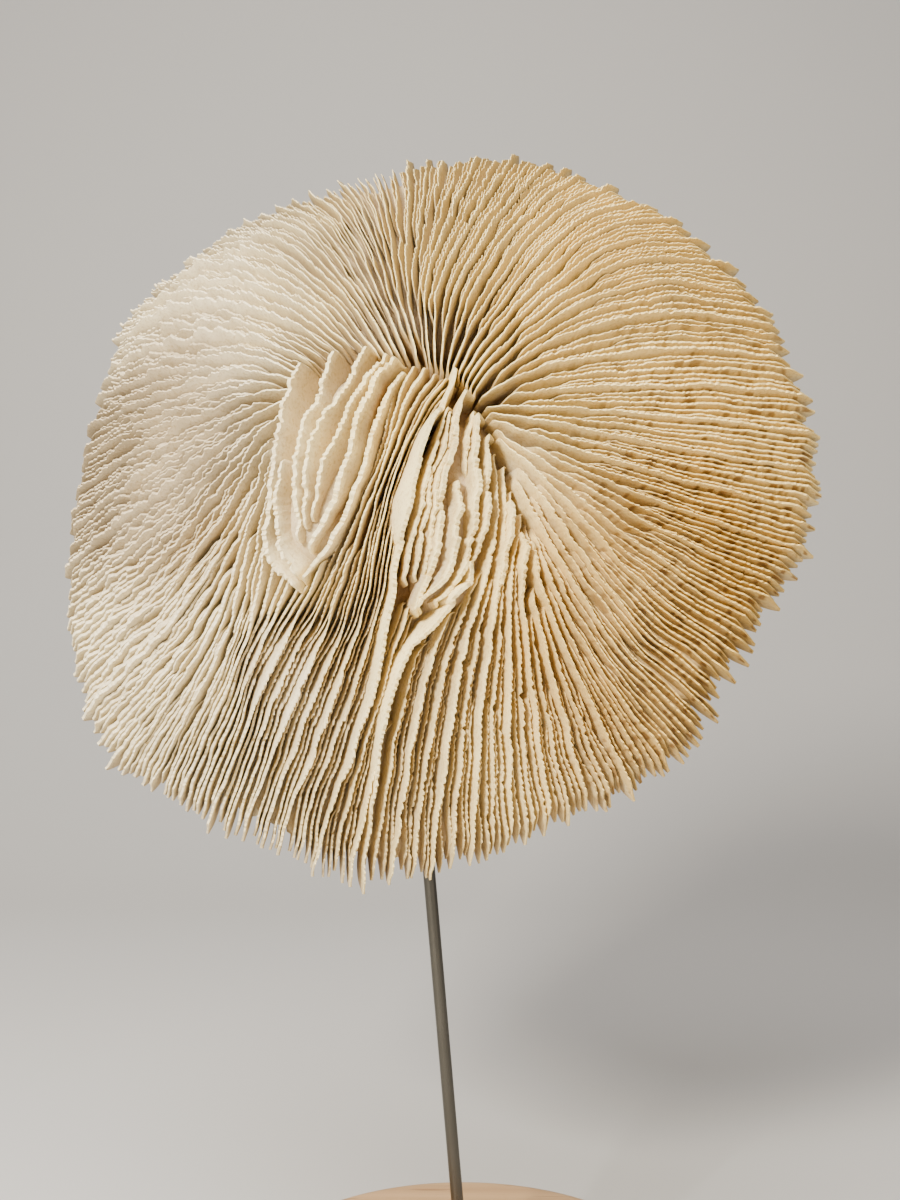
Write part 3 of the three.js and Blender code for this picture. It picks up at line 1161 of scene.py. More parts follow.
@dataclass(frozen=True)
class CoralFinish:
    """Bleached coral: cream crests, tan to brown depths that are partly a deposit and partly painted shade, a
    patch of painted shade on the left, dashes of painted shade on the right, painted warm light on the
    right's crests and a stain.

    Scales are repeats in a metre. Values in pairs are where a share starts and ends to rise: by the place in
    metres for the bleached left, the painted warm light on the right and the painted dashes across and up, by
    the tint or the grain where they are named for it, and by a plate's height from 0 to 1 elsewhere. Shares
    are how strongly each layer covers the ones before it.
    covers the ones before it.
    """

    crest: tuple[float, ...] = srgb(254, 234, 172)
    flank: tuple[float, ...] = srgb(208, 184, 130)
    depth: tuple[float, ...] = srgb(202, 184, 150)
    pit: tuple[float, ...] = srgb(178, 154, 120)
    warm: tuple[float, ...] = srgb(244, 204, 136)
    pale_depth: tuple[float, ...] = srgb(210, 190, 150)
    pale_flank: tuple[float, ...] = srgb(228, 208, 160)
    bleached_depth: tuple[float, ...] = srgb(196, 178, 144)
    bleached_flank: tuple[float, ...] = srgb(212, 198, 168)
    bleached: tuple[float, ...] = srgb(248, 236, 204)
    # Painted shade: grey multiplied into a patch on the left of the face.
    painted_shade_grey: tuple[float, ...] = srgb(206, 196, 188)
    # Painted warm light: yellow multiplied into the crests on the right.
    painted_warm_light: tuple[float, ...] = srgb(242, 226, 188)
    stain: tuple[float, ...] = srgb(234, 216, 166)
    # Dark brown of the dashes: painted shade that stands in for shaded pits.
    hole: tuple[float, ...] = srgb(138, 98, 54)
    speck: tuple[float, ...] = srgb(206, 190, 160)
    painted_shade_patch: Patch = Patch((-0.068, 0.187), (0.036, 0.038), 0.6, (0.4, 1.1))
    stain_patch: Patch = Patch((0.038, 0.15), (0.037, 0.036), 0.9, (0.55, 1.15))
    cloud_scale: float = 45.0
    patch_scale: float = 160.0
    mottle_scale: float = 420.0
    grain_scale: float = 1500.0
    pore_scale: float = 3600.0
    clouding: float = 0.2
    mottling: float = 0.3
    tint_clouding: float = 0.5
    side_clouding: float = 0.05
    warm_tints: tuple[float, float] = (0.9, 1.8)
    warm_heights: tuple[float, float] = (0.25, 0.75)
    dash_foot: tuple[float, float] = (0.5, 0.6)
    dash_top: tuple[float, float] = (0.8, 0.9)
    dash_across: tuple[float, float] = (0.005, 0.04)
    dash_up: tuple[float, float] = (0.18, 0.25)
    dash_share: float = 0.8
    bleach_zone: tuple[float, float] = (0.012, 0.055)
    bleach_share: float = 0.85
    painted_shade_share: float = 0.8
    warm_light_zone: tuple[float, float] = (-0.01, 0.05)
    warm_light_heights: tuple[float, float] = (0.5, 0.9)
    warm_light_share: float = 0.7
    stain_floor: float = 0.35
    stain_mottling: float = 0.7
    stain_share: float = 0.9
    speck_grain: tuple[float, float] = (0.45, 0.75)
    speck_share: float = 0.6
    grain_relief: float = 0.7
    pore_relief: float = 0.3
    relief_depth: float = 0.0004
    relief_strength: float = 0.5
    roughness: float = 0.82
    gloss: float = 0.25

    def material(self) -> bpy.types.Material:
        """Builds the material, layer on layer.

        Returns:
            A material that reads the level, tint and dash that the meshes carry.
        """
        g = ShaderGraph("bleached coral")
        place = g.place()
        x, _, z = g.parts(place)
        level = g.attribute(Keeps.LEVEL.value)
        cloud = g.noise(place, self.cloud_scale, 3.0)
        mottle = g.noise(place, self.mottle_scale, 3.0, 0.6)
        patch = g.noise(place, self.patch_scale, 2.0)
        mottled = level + (mottle - 0.5) * self.mottling + (patch - 0.5) * self.mottling
        height = mottled + (cloud - 0.5) * self.clouding
        # The ramps by height go darker towards a plate's foot and the floor between plates, as does the
        # bleached ramp below: partly a brown deposit in the depths and partly painted shade.
        brown = g.ramp(height, [(0.1, self.pit), (0.42, self.depth), (0.78, self.flank), (1.0, self.crest)])
        pale = g.ramp(height, [(0.05, self.pale_depth), (0.4, self.pale_flank), (0.8, self.crest)])
        tint = g.attribute(Keeps.TINT.value)
        colour = g.mixed(g.step(tint + (cloud - 0.5) * self.tint_clouding, 0.0, 1.0), pale, brown)
        # A warm brown multiplied into the low parts where the tint is high: partly a brown deposit and partly
        # painted warm shade.
        warmed = g.step(tint, *self.warm_tints) * (1.0 - g.step(height, *self.warm_heights))
        colour = g.mixed(warmed, colour, self.warm, "MULTIPLY")
        # Painted shade: dark brown dashes along the middle of the plates' flanks on the right, in the hole
        # colour, stand in for shaded pits.
        band = g.step(level, *self.dash_foot) * (1.0 - g.step(level, *self.dash_top))
        painted_dashes = g.attribute(Keeps.DASH.value) * band * g.step(x, *self.dash_across)
        painted_dashes = painted_dashes * (1.0 - g.step(z, *self.dash_up))
        colour = g.mixed(painted_dashes * self.dash_share, colour, self.hole)
        ragged = (cloud - 0.5) * self.side_clouding
        bleach = g.step(x * -1.0 + ragged, *self.bleach_zone)
        white = g.ramp(
            height, [(0.3, self.bleached_depth), (0.65, self.bleached_flank), (0.95, self.bleached)]
        )
        colour = g.mixed(bleach * self.bleach_share, colour, white)
        # Painted shade: a greyer, darker patch on the left of the face.
        painted_shade = self.painted_shade_patch.share(g, x, z, cloud)
        colour = g.mixed(painted_shade * self.painted_shade_share, colour, self.painted_shade_grey, "MULTIPLY")
        # Painted warm light: the crests on the right are tinted yellower.
        warm_lit_crests = g.step(x + ragged, *self.warm_light_zone) * g.step(height, *self.warm_light_heights)
        colour = g.mixed(warm_lit_crests * self.warm_light_share, colour, self.painted_warm_light, "MULTIPLY")
        blotches = self.stain_floor + mottle * self.stain_mottling
        stained = self.stain_patch.share(g, x, z, cloud) * blotches
        colour = g.mixed(stained * self.stain_share, colour, self.stain, "MULTIPLY")
        grain = g.noise(place, self.grain_scale, 3.0, 0.6)
        specks = g.step(grain, *self.speck_grain) * self.speck_share
        colour = g.mixed(specks, colour, self.speck, "MULTIPLY")
        pores = g.noise(place, self.pore_scale, 2.0)
        relief = grain * self.grain_relief + pores * self.pore_relief
        return g.surface(
            Base_Color=colour,
            Roughness=self.roughness,
            Specular_IOR_Level=self.gloss,
            Normal=g.bump(relief, self.relief_depth, self.relief_strength),
        )


@dataclass
class BladeLine:
    """One blade along its line, in millimetres on the disc.

    flat holds the places of its crest, low and top the heights of its foot and crest, up the way it stands,
    along the distance from its start, reach its height as a share of the tallest, and the rest its thickness
    and the share of teeth and waves at each place. least_height is the least height of any blade, and
    end_reach how far from an end its teeth and waves are at full size.
    """

    number: float
    flat: np.ndarray
    low: np.ndarray
    top: np.ndarray
    up: np.ndarray
    half_thickness: np.ndarray
    blunt: np.ndarray
    along: np.ndarray
    toothing: np.ndarray
    waving: np.ndarray
    tint: np.ndarray
    ends: np.ndarray
    reach: np.ndarray
    least_height: float = 0.3
    end_reach: float = 3.0

    def columns(self, form: CoralForm) -> dict[str, np.ndarray]:
        """Values of the line for a line set.

        Args:
            form: The coral that places the line.

        Returns:
            Values by name, in metres.
        """
        height = np.maximum(np.abs(self.top - self.low), self.least_height) / np.abs(self.up[:, 2])
        crest = np.column_stack([self.flat, self.top])
        foot = crest - self.up * height[:, None]
        side = np.cross(np.gradient(crest, axis=0), self.up)
        side /= np.linalg.norm(side, axis=1, keepdims=True) + 1e-9
        axes = form.axes()
        return {
            "foot": form.to_world(foot),
            "up": self.up @ axes,
            "side": side @ axes,
            "height": height * MM,
            "half_thickness": self.half_thickness * MM,
            "blunt": self.blunt,
            "along": self.along * MM,
            "septum": np.full(len(self.flat), self.number),
            "toothing": self.toothing,
            "waving": self.waving,
            "reach": self.reach,
            Keeps.TINT.value: self.tint,
            "crest_room": ease(0.0, self.end_reach, self.ends),
        }


def grow_blades(
    name: str,
    blades: list[BladeLine],
    form: CoralForm,
    tree: BladeTree,
    look: BladeLook,
    finish: bpy.types.Material,
) -> bpy.types.Object:
    """Makes one piece of the coral out of blades.

    Args:
        name: Name of the piece.
        blades: Its blades.
        form: The coral that places them.
        tree: Nodes that grow them.
        look: Sizes of their small forms.
        finish: Material of the coral.

    Returns:
        The finished piece.
    """
    lines = LineSet()
    for blade in blades:
        lines.add(**blade.columns(form))
    piece = tree.blades(name, lines, look, finish)
    mount_piece(piece, "coral")
    return piece


class Age(Enum):
    """Pieces that the septa are made in, by age."""

    OLD = "old_septa"
    MIDDLE = "middle_septa"
    YOUNG_LEFT = "young_septa_left"
    YOUNG_RIGHT = "young_septa_right"


@dataclass
class Septa:
    """The thin plates that run from the mouth to the rim, with sizes in millimetres.

    Sizes in threes are for the youngest plates, the middle ones and the old ones. A spear is a plate that
    reaches further past the rim than its neighbours, at the lower left. rise_ahead and taper_ahead are how
    far along its rise and its taper a plate already is where it starts.
    """

    form: CoralForm
    tree: BladeTree
    count: int = 372
    oldest_rank: int = 9
    first_guide: int = 3
    plan_steps: int = 141
    least_steps: int = 6
    least_points: int = 8
    leader_samples: int = 400
    leader_fade: tuple[float, float] = (0.95, 0.4)
    place_jitter: float = 0.2
    lobe_margin: float = 1.04
    room_steps: int = 21
    open_room: float = 9.0
    rim_squeeze: float = 0.3
    past_rim: float = 5.0
    least_gaps: tuple[float, float] = (0.68, 0.9)
    point_gaps: tuple[float, ...] = (0.42, 0.35, 0.33)
    half_thicknesses: tuple[float, ...] = (0.75, 0.85, 0.9)
    least_half_thickness: float = 0.25
    start_thickness: float = 0.45
    start_taper: float = 5.0
    taper_ahead: float = 1.0
    tip_thickness: float = 0.75
    tip_taper: float = 6.0
    heights: tuple[float, ...] = (6.2, 5.8, 6.6)
    stand_square: float = 0.85
    sunk: float = 1.2
    rim_sunk: float = 2.0
    rim_sunk_reach: float = 8.0
    rim_fall: float = 0.35
    rim_reach: float = 24.0
    quick_rise: float = 1.6
    rise_ahead: float = 0.3
    mouth_dip: float = 0.5
    slow_start: float = 0.15
    slow_rise: float = 7.0
    nose: float = 2.6
    nose_power: float = 1.5
    free_end: float = 3.6
    free_power: float = 1.2
    tip_floor_share: float = 0.4
    tip_over_floor: float = 1.0
    tip_top: float = 0.3
    tip_foot: float = 0.2
    tip_lean: float = 0.8
    tip_lean_reach: float = 8.0
    set_back_reach: float = 14.0
    tooth_start: float = 0.3
    tooth_gap: float = 2.0
    tooth_reach: float = 10.0
    least_level: float = 0.2
    tip_reaches: tuple[tuple[float, float], ...] = ((-2.6, 0.6), (-2.2, 1.0), (-1.4, 1.4))
    spear: float = 1.6
    spear_share: float = 0.35
    spear_corner: tuple[float, float] = (15.0, -40.0)
    seed: int = 41
    look: BladeLook = field(default_factory=BladeLook)

    def rank(self, index: int) -> int:
        """How early a septum grew.

        Args:
            index: Number of the septum.

        Returns:
            0 for the two youngest in three, more for the older ones.
        """
        if index % 3:
            return 0
        third = index // 3
        return (third & -third).bit_length() if third else self.oldest_rank

    def lobe_exits(self, paths: np.ndarray) -> np.ndarray:
        """First step of each line that is past the lobes.

        Args:
            paths: Lines on the disc.

        Returns:
            One step for each line.
        """
        inside = np.any([lobe.reach(paths) < self.lobe_margin for lobe in self.form.lobes], axis=0)
        steps = np.arange(1, paths.shape[1] + 1)
        return np.max(np.where(inside, steps, 0), axis=1)

    def plan(self, paths: np.ndarray, leaders: set[int]) -> tuple[np.ndarray, np.ndarray]:
        """Decides where each septum starts, so that a young one starts where its neighbours leave room.

        Args:
            paths: Lines on the disc.
            leaders: Lines that start at the mouth whatever their rank.

        Returns:
            First step of each line, and the room between neighbours by line and step.
        """
        count, steps = paths.shape[:2]
        tangent = np.gradient(paths, axis=1)
        tangent /= np.linalg.norm(tangent, axis=-1, keepdims=True) + 1e-9
        exits = self.lobe_exits(paths)
        numbers = np.arange(steps)
        needed = 1 - self.rim_squeeze * numbers / steps
        starts = np.full(count, steps)
        placed: list[int] = []

        def gap(one: int, other: int) -> np.ndarray:
            """Distance square to the line between two lines, step by step."""
            apart = paths[other] - paths[one]
            return np.abs(apart[:, 0] * tangent[one, :, 1] - apart[:, 1] * tangent[one, :, 0])

        def turn(index: int) -> int:
            """Turn of a line to be placed: traced lines first, then the others by rank."""
            return -self.oldest_rank if index in leaders else -self.rank(index)

        for index in sorted(range(count), key=turn):
            start = 0 if index in leaders else exits[index]
            if placed:
                spot = bisect.bisect(placed, index)
                least = self.least_gaps[min(self.rank(index), 1)]
                for near in (placed[spot - 1], placed[spot % len(placed)]):
                    tight = (gap(index, near) < needed * least) & (numbers >= starts[near])
                    start = max(start, int(np.max(np.where(tight, numbers + 1, 0))))
            starts[index] = start
            bisect.insort(placed, index)
        room = np.full((count, steps), self.open_room)
        for step in range(steps):
            present = np.nonzero(starts <= step)[0]
            apart = paths[np.roll(present, -1), step] - paths[present, step]
            t = tangent[present, step]
            wide = np.abs(apart[:, 0] * t[:, 1] - apart[:, 1] * t[:, 0])
            room[present, step] = np.minimum(wide, np.roll(wide, 1))
        return starts, room

    @staticmethod
    def age(rank: int, rim_place: np.ndarray) -> Age:
        """Chooses the piece that a septum belongs to.

        Args:
            rank: 0 for the youngest, 1 for the middle ones and 2 for the old ones.
            rim_place: Its end at the rim.

        Returns:
            The piece.
        """
        if rank:
            return Age.OLD if rank == 2 else Age.MIDDLE
        return Age.YOUNG_LEFT if rim_place[0] < 0 else Age.YOUNG_RIGHT

    def blades(self) -> dict[Age, list[BladeLine]]:
        """Works out every septum's line and sizes.

        Returns:
            Septa by the piece that they belong to.
        """
        form = self.form
        dice = np.random.default_rng(self.seed)
        places = form.rim_places(self.count, self.first_guide)
        places = places + dice.uniform(-self.place_jitter, self.place_jitter, self.count) / self.count
        along = np.linspace(0.0, 1.0, self.plan_steps)
        paths = form.flow_lines(places, along)
        leaders: dict[int, Leader] = {}
        for leader in form.leaders:
            offset = np.abs(np.mod(places - leader.guide / len(form.guides) + 0.5, 1.0) - 0.5)
            index = int(np.argmin(offset))
            leaders[index] = leader
            stops = np.vstack([np.array(leader.line), paths[index, -1]])
            traced = spline(stops, np.linspace(0.0, 1.0, self.leader_samples), False)
            far, step_far = run_length(traced), run_length(paths[index])
            paths[index] = points_along(traced, step_far / step_far[-1] * far[-1])
        starts, room = self.plan(paths, set(leaders))
        exits = self.lobe_exits(paths)
        pieces: dict[Age, list[BladeLine]] = {age: [] for age in Age}
        for index in range(self.count):
            first = starts[index]
            if first > self.plan_steps - self.least_steps:
                continue
            rank = 2 if index in leaders else min(self.rank(index), 2)
            tip = dice.uniform(*self.tip_reaches[rank])
            at_rim = paths[index, -1]
            is_low_left = at_rim[0] < self.spear_corner[0] and at_rim[1] < self.spear_corner[1]
            if rank and is_low_left and dice.uniform() < self.spear_share:
                tip += self.spear
            is_sudden = first == 0 or first == exits[index]
            blade = self.blade(index, rank, paths[index, first:], room[index, first:], tip, is_sudden)
            if index in leaders:
                self.raise_leader(blade, leaders[index])
            pieces[self.age(rank, at_rim)].append(blade)
        return pieces

    def raise_leader(self, blade: BladeLine, leader: Leader) -> None:
        """Makes a traced septum taller and thicker on its traced part.

        Args:
            blade: The septum.
            leader: Its own sizes.
        """
        share = ease(*self.leader_fade, blade.along / blade.along[-1])
        blade.top += leader.extra_height * share
        thicker = np.maximum(blade.half_thickness, leader.half_thickness)
        blade.half_thickness += (thicker - blade.half_thickness) * share
        blade.tint *= 1 - share

    def blade(
        self, index: int, rank: int, points: np.ndarray, spacing: np.ndarray, tip: float, is_sudden: bool
    ) -> BladeLine:
        """Sizes of one septum along its line.

        Args:
            index: Number of the septum.
            rank: 0 for the youngest, 1 for the middle ones and 2 for the old ones.
            points: Its line on the disc up to the rim.
            spacing: Room to its neighbours along the line.
            tip: How far it reaches past the rim, less than 0 where it stops short.
            is_sudden: Whether it starts at the mouth or at a lobe and rises at once.

        Returns:
            The blade.
        """
        form = self.form
        outwards = points[-1] / np.linalg.norm(points[-1])
        line = np.vstack([points, points[-1] + outwards * self.past_rim])
        length = run_length(line)
        total = length[-2] + tip
        far = np.linspace(0.0, total, max(self.least_points, int(total / self.point_gaps[rank])))
        flat = points_along(line, far)
        room = np.interp(far, length, np.append(spacing, spacing[-1]))
        padded = np.pad(room, self.room_steps // 2, mode="edge")
        room = np.convolve(padded, np.ones(self.room_steps) / self.room_steps, mode="valid")
        left = total - far
        floor = form.floor(flat)
        if is_sudden:
            start = rounded(far + self.rise_ahead, self.quick_rise)
        else:
            start = swell(self.slow_start, self.slow_rise, far)
        stand = form.stand(flat)
        height = self.heights[rank] * (stand.young if rank == 0 else np.ones(len(far)))
        fall = self.rim_fall * ease(self.rim_reach, 0.0, left)
        rise = height * start * (1 - fall)
        tip_height = floor[-1] * self.tip_floor_share + self.tip_over_floor
        nose = 1 - (1 - np.clip(left / self.nose, 0.0, 1.0)) ** self.nose_power
        crest = floor + form.mouth_depth(flat) * (1 - self.mouth_dip) + rise
        top = tip_height + self.tip_top + (crest - tip_height - self.tip_top) * nose
        low = floor - self.sunk
        low = low - self.rim_sunk * ease(self.free_end + self.rim_sunk_reach, self.free_end, left)
        lifted = (1 - np.clip(left / self.free_end, 0.0, 1.0)) ** self.free_power
        low = low + (tip_height - self.tip_foot - low) * lifted
        thick = np.clip(stand.bulk * room / 2, self.least_half_thickness, self.half_thicknesses[rank])
        thick *= swell(self.start_thickness, self.start_taper, far + self.taper_ahead)
        thick *= swell(self.tip_thickness, self.tip_taper, left)
        lean = stand.lean * swell(self.tip_lean, self.tip_lean_reach, left)[:, None]
        up = form.upright(flat, self.stand_square * ease(0.0, self.rim_reach, left), lean)
        set_back = (self.heights[-1] - height) * ease(0.0, self.set_back_reach, left) + height * fall
        aside = lean - (lean @ outwards)[:, None] * outwards
        flat = flat - lean * set_back[:, None] - aside * (crest - top)[:, None]
        return BladeLine(
            float(index), flat, low, top, up, thick, stand.blunt, far,
            toothing=stand.teeth * swell(self.tooth_start, self.tooth_reach, far - self.tooth_gap),
            waving=stand.waves,
            tint=stand.tint,
            ends=np.minimum(far, left),
            reach=self.least_level + (1 - self.least_level) * height * start / self.heights[-1],
        )

    def build(self, finish: bpy.types.Material) -> list[bpy.types.Object]:
        """Makes the septa in pieces by age, all with the coral's material."""
        return [
            grow_blades(age.value, blades, self.form, self.tree, self.look, finish)
            for age, blades in self.blades().items()
        ]


@dataclass
class LobeRibbons:
    """Plates that stand on the two lobes below the mouth.

    rise_ahead is how far along its rise a plate already is at its ends.
    """

    form: CoralForm
    tree: BladeTree
    point_gap: float = 0.33
    samples: int = 200
    end_rise: float = 1.2
    rise_ahead: float = 0.2
    end_thickness: float = 0.6
    end_taper: float = 8.0
    sunk: float = 1.0
    stand_square: float = 0.6
    first_number: float = 300.0
    look: BladeLook = field(
        default_factory=lambda: BladeLook(
            tooth_depth=0.9, wave_length=4.5, wave_depth=1.2, sway=0.7, seed=8.0
        )
    )

    def blade(self, number: int, ribbon: Ribbon) -> BladeLine:
        """Sizes of one ribbon along its line.

        Args:
            number: Number of the ribbon.
            ribbon: Its line and sizes.

        Returns:
            The blade.
        """
        form = self.form
        line = spline(np.array(ribbon.line, float), np.linspace(0.0, 1.0, self.samples), False)
        total = run_length(line)[-1]
        far = np.linspace(0.0, total, int(total / self.point_gap))
        flat = points_along(line, far)
        ends = np.minimum(far, far[-1] - far)
        start = rounded(ends + self.rise_ahead, self.end_rise)
        over = np.interp(far / far[-1], (0.0, 0.5, 1.0), ribbon.tops)
        low = form.floor(flat) - self.sunk
        top = low + (form.dome(flat) + over - low) * start
        stand = form.stand(flat)
        return BladeLine(
            self.first_number + number, flat, low, top,
            up=form.upright(flat, self.stand_square, stand.lean),
            half_thickness=ribbon.half_thickness * swell(self.end_thickness, self.end_taper, ends),
            blunt=stand.blunt,
            along=far,
            toothing=stand.teeth,
            waving=stand.waves,
            tint=stand.tint,
            ends=ends,
            reach=np.ones(len(far)),
        )

    def build(self, finish: bpy.types.Material) -> bpy.types.Object:
        """Makes all the ribbons as one piece with the coral's material."""
        blades = [self.blade(number, ribbon) for number, ribbon in enumerate(self.form.ribbons)]
        return grow_blades("lobe_ribbons", blades, self.form, self.tree, self.look, finish)


@dataclass
class Costae:
    """Low spiny ribs under the coral, from near the middle to the rim.

    rise_ahead is how far along its rise a rib already is where it starts, and end_gain how many times nearer
    to its ends than a septum's teeth its spines are at full size.
    """

    form: CoralForm
    tree: BladeTree
    count: int = 168
    point_gap: float = 0.7
    starts: tuple[float, ...] = (0.52, 0.34, 0.2, 0.14)
    rim_gap: float = 5.0
    height: float = 1.3
    half_thickness: float = 0.5
    blunt: float = 0.6
    tint: float = 0.3
    sunk: float = 0.6
    start_height: float = 0.35
    rise_ahead: float = 4.0
    rise_share: float = 0.35
    end_gain: float = 1.5
    first_number: float = 500.0
    look: BladeLook = field(
        default_factory=lambda: BladeLook(
            tooth_pitch=1.7, tooth_depth=0.8, wave_depth=0.2, sway=0.35, seed=21.0
        )
    )

    def rib(self, index: int) -> BladeLine:
        """Sizes of one rib along its line.

        Args:
            index: Number of the rib.

        Returns:
            The blade, which stands downwards.
        """
        form = self.form
        bearing = index / self.count * math.tau
        oldest = len(self.starts) - 1
        rank = min((index & -index).bit_length() - 1, oldest) if index else oldest
        rim = float(form.rim_radius(np.array([bearing]))[0]) - self.rim_gap
        radius = np.arange(rim * self.starts[rank], rim, self.point_gap)
        far = radius - radius[0]
        flat = np.stack([radius * math.cos(bearing), radius * math.sin(bearing)], axis=1)
        foot = form.underside(radius) + self.sunk
        grown = self.height * swell(self.start_height, self.rise_share * rim, far + self.rise_ahead)
        even = np.ones(len(radius))
        return BladeLine(
            self.first_number + index, flat, foot, foot - self.sunk - grown,
            up=np.outer(even, (0.0, 0.0, -1.0)),
            half_thickness=even * self.half_thickness,
            blunt=even * self.blunt,
            along=radius,
            toothing=even,
            waving=even,
            tint=even * self.tint,
            ends=np.minimum(far, far[::-1]) * self.end_gain,
            reach=even,
        )

    def build(self, finish: bpy.types.Material) -> bpy.types.Object:
        """Makes all the ribs as one piece with the coral's material."""
        ribs = [self.rib(index) for index in range(self.count)]
        return grow_blades("costae", ribs, self.form, self.tree, self.look, finish)


@dataclass
class CoralWall:
    """The plate that the septa stand on: domed face, rim and hollow underside, closed all round.

    Levels and tints are what its material reads: low and brown on the face, which is partly a brown deposit
    and partly painted shade between the septa, paler on the lobes, towards the edge and underneath.
    """

    form: CoralForm
    columns: int = 600
    face_rows: int = 80
    under_rows: int = 30
    rim_inset: float = 6.8
    rim_jag: float = 1.6
    edge_steps: int = 4
    edge_bulge: float = 1.0
    face_level: float = 0.12
    lobe_level: float = 0.2
    edge_level: float = 0.3
    edge_zone: tuple[float, float] = (0.8, 0.97)
    edge_paling: float = 0.5
    under_level: float = 0.72
    under_tint: float = 0.3
    seed: int = 5

    def rows(self) -> list[np.ndarray]:
        """Works out the rings of points.

        Returns:
            Rings that run out over the face, round the edge and back in under it.
        """
        form = self.form
        bearings = np.arange(self.columns) / self.columns * math.tau
        rays = np.stack([np.cos(bearings), np.sin(bearings)], axis=1)
        dice = np.random.default_rng(self.seed)
        rim = form.rim_radius(bearings) - self.rim_inset + dice.uniform(-1, 1, self.columns) * self.rim_jag
        rows: list[np.ndarray] = []
        for share in np.linspace(0.0, 1.0, self.face_rows + 1)[1:]:
            flat = rays * (rim * share)[:, None]
            rows.append(np.column_stack([flat, form.floor(flat)]))
        edge_top = rows[-1][:, 2]
        edge_low = form.underside(rim)
        for step in range(1, self.edge_steps):
            turn = step / self.edge_steps * math.pi
            flat = rays * (rim + math.sin(turn) * self.edge_bulge)[:, None]
            share = (1 - math.cos(turn)) / 2
            rows.append(np.column_stack([flat, edge_top + (edge_low - edge_top) * share]))
        for share in np.linspace(1.0, 0.0, self.under_rows + 1)[:-1]:
            flat = rays * (rim * share)[:, None]
            rows.append(np.column_stack([flat, form.underside(rim * share)]))
        return rows

    def faces(self, row_count: int) -> list[tuple[int, ...]]:
        """Faces between a first point, the rings and a last point.

        Args:
            row_count: Number of rings.

        Returns:
            Numbers of the corners of each face.
        """
        faces: list[tuple[int, ...]] = []
        end = 1 + (row_count - 1) * self.columns
        last = end + self.columns
        for column in range(self.columns):
            after = (column + 1) % self.columns
            faces.append((0, 1 + column, 1 + after))
            for here in range(1, end, self.columns):
                below = here + self.columns
                faces.append((here + column, below + column, below + after, here + after))
            faces.append((end + column, last, end + after))
        return faces

    def paint(self, mesh: bpy.types.Mesh, points: np.ndarray) -> None:
        """Keeps the level and the tint at each point for the material.

        Args:
            mesh: The wall.
            points: Its points on the disc, in the same order.
        """
        form = self.form
        flat = points[:, :2]
        lobes = np.max([lobe.rise(flat) / lobe.height for lobe in form.lobes], axis=0)
        edge = ease(*self.edge_zone, np.linalg.norm(flat, axis=1) / form.dome_radius)
        # A low level paints the face between the septa darker: partly a brown deposit and partly painted
        # shade.
        level = self.face_level + self.lobe_level * lobes + self.edge_level * edge
        tint = form.stand(flat).tint * (1 - self.edge_paling * edge)
        first_under = 1 + (self.face_rows + 1) * self.columns
        level[first_under:] = self.under_level
        tint[first_under:] = self.under_tint
        for kept, values in ((Keeps.LEVEL, level), (Keeps.TINT, tint)):
            mesh.attributes.new(kept.value, "FLOAT", "POINT").data.foreach_set("value", values)

    def build(self, finish: bpy.types.Material) -> bpy.types.Object:
        """Makes the wall.

        Args:
            finish: Material of the coral.

        Returns:
            The finished piece.
        """
        form = self.form
        rows = self.rows()
        crown = np.array([[0.0, 0.0, float(form.floor(np.zeros((1, 2)))[0])]])
        hollow = np.array([[0.0, 0.0, float(form.underside(np.zeros(1))[0])]])
        points = np.concatenate([crown, *rows, hollow])
        mesh = bpy.data.meshes.new("coral_wall")
        mesh.from_pydata(form.to_world(points).tolist(), [], self.faces(len(rows)))
        self.paint(mesh, points)
        mesh.shade_smooth()
        mesh.materials.append(finish)
        face_outwards(mesh)
        piece = as_object("coral_wall", mesh)
        mount_piece(piece, "coral")
        return piece


def lathe(name: str, outline: list[tuple[float, float]], sides: int) -> bpy.types.Mesh:
    """Turns an outline that starts and ends on the axis about +Z.

    Args:
        name: Name of the mesh.
        outline: Radius and height of each point, in millimetres.
        sides: Points round the axis.

    Returns:
        A closed mesh in metres.
    """
    shell = bmesh.new()
    rings: list[list[bmesh.types.BMVert]] = []
    for radius, height in outline:
        if radius == 0:
            rings.append([shell.verts.new((0.0, 0.0, height * MM))])
            continue
        turns = [k / sides * math.tau for k in range(sides)]
        rings.append([
            shell.verts.new((radius * MM * math.cos(a), radius * MM * math.sin(a), height * MM))
            for a in turns
        ])
    for low, high in zip(rings, rings[1:]):
        for k in range(sides):
            n = (k + 1) % sides
            if len(low) == 1:
                shell.faces.new((low[0], high[n], high[k]))
            elif len(high) == 1:
                shell.faces.new((low[k], low[n], high[0]))
            else:
                shell.faces.new((low[k], low[n], high[n], high[k]))
    bmesh.ops.recalc_face_normals(shell, faces=shell.faces)
    mesh = bpy.data.meshes.new(name)
    shell.to_mesh(mesh)
    shell.free()
    mesh.shade_smooth()
    return mesh


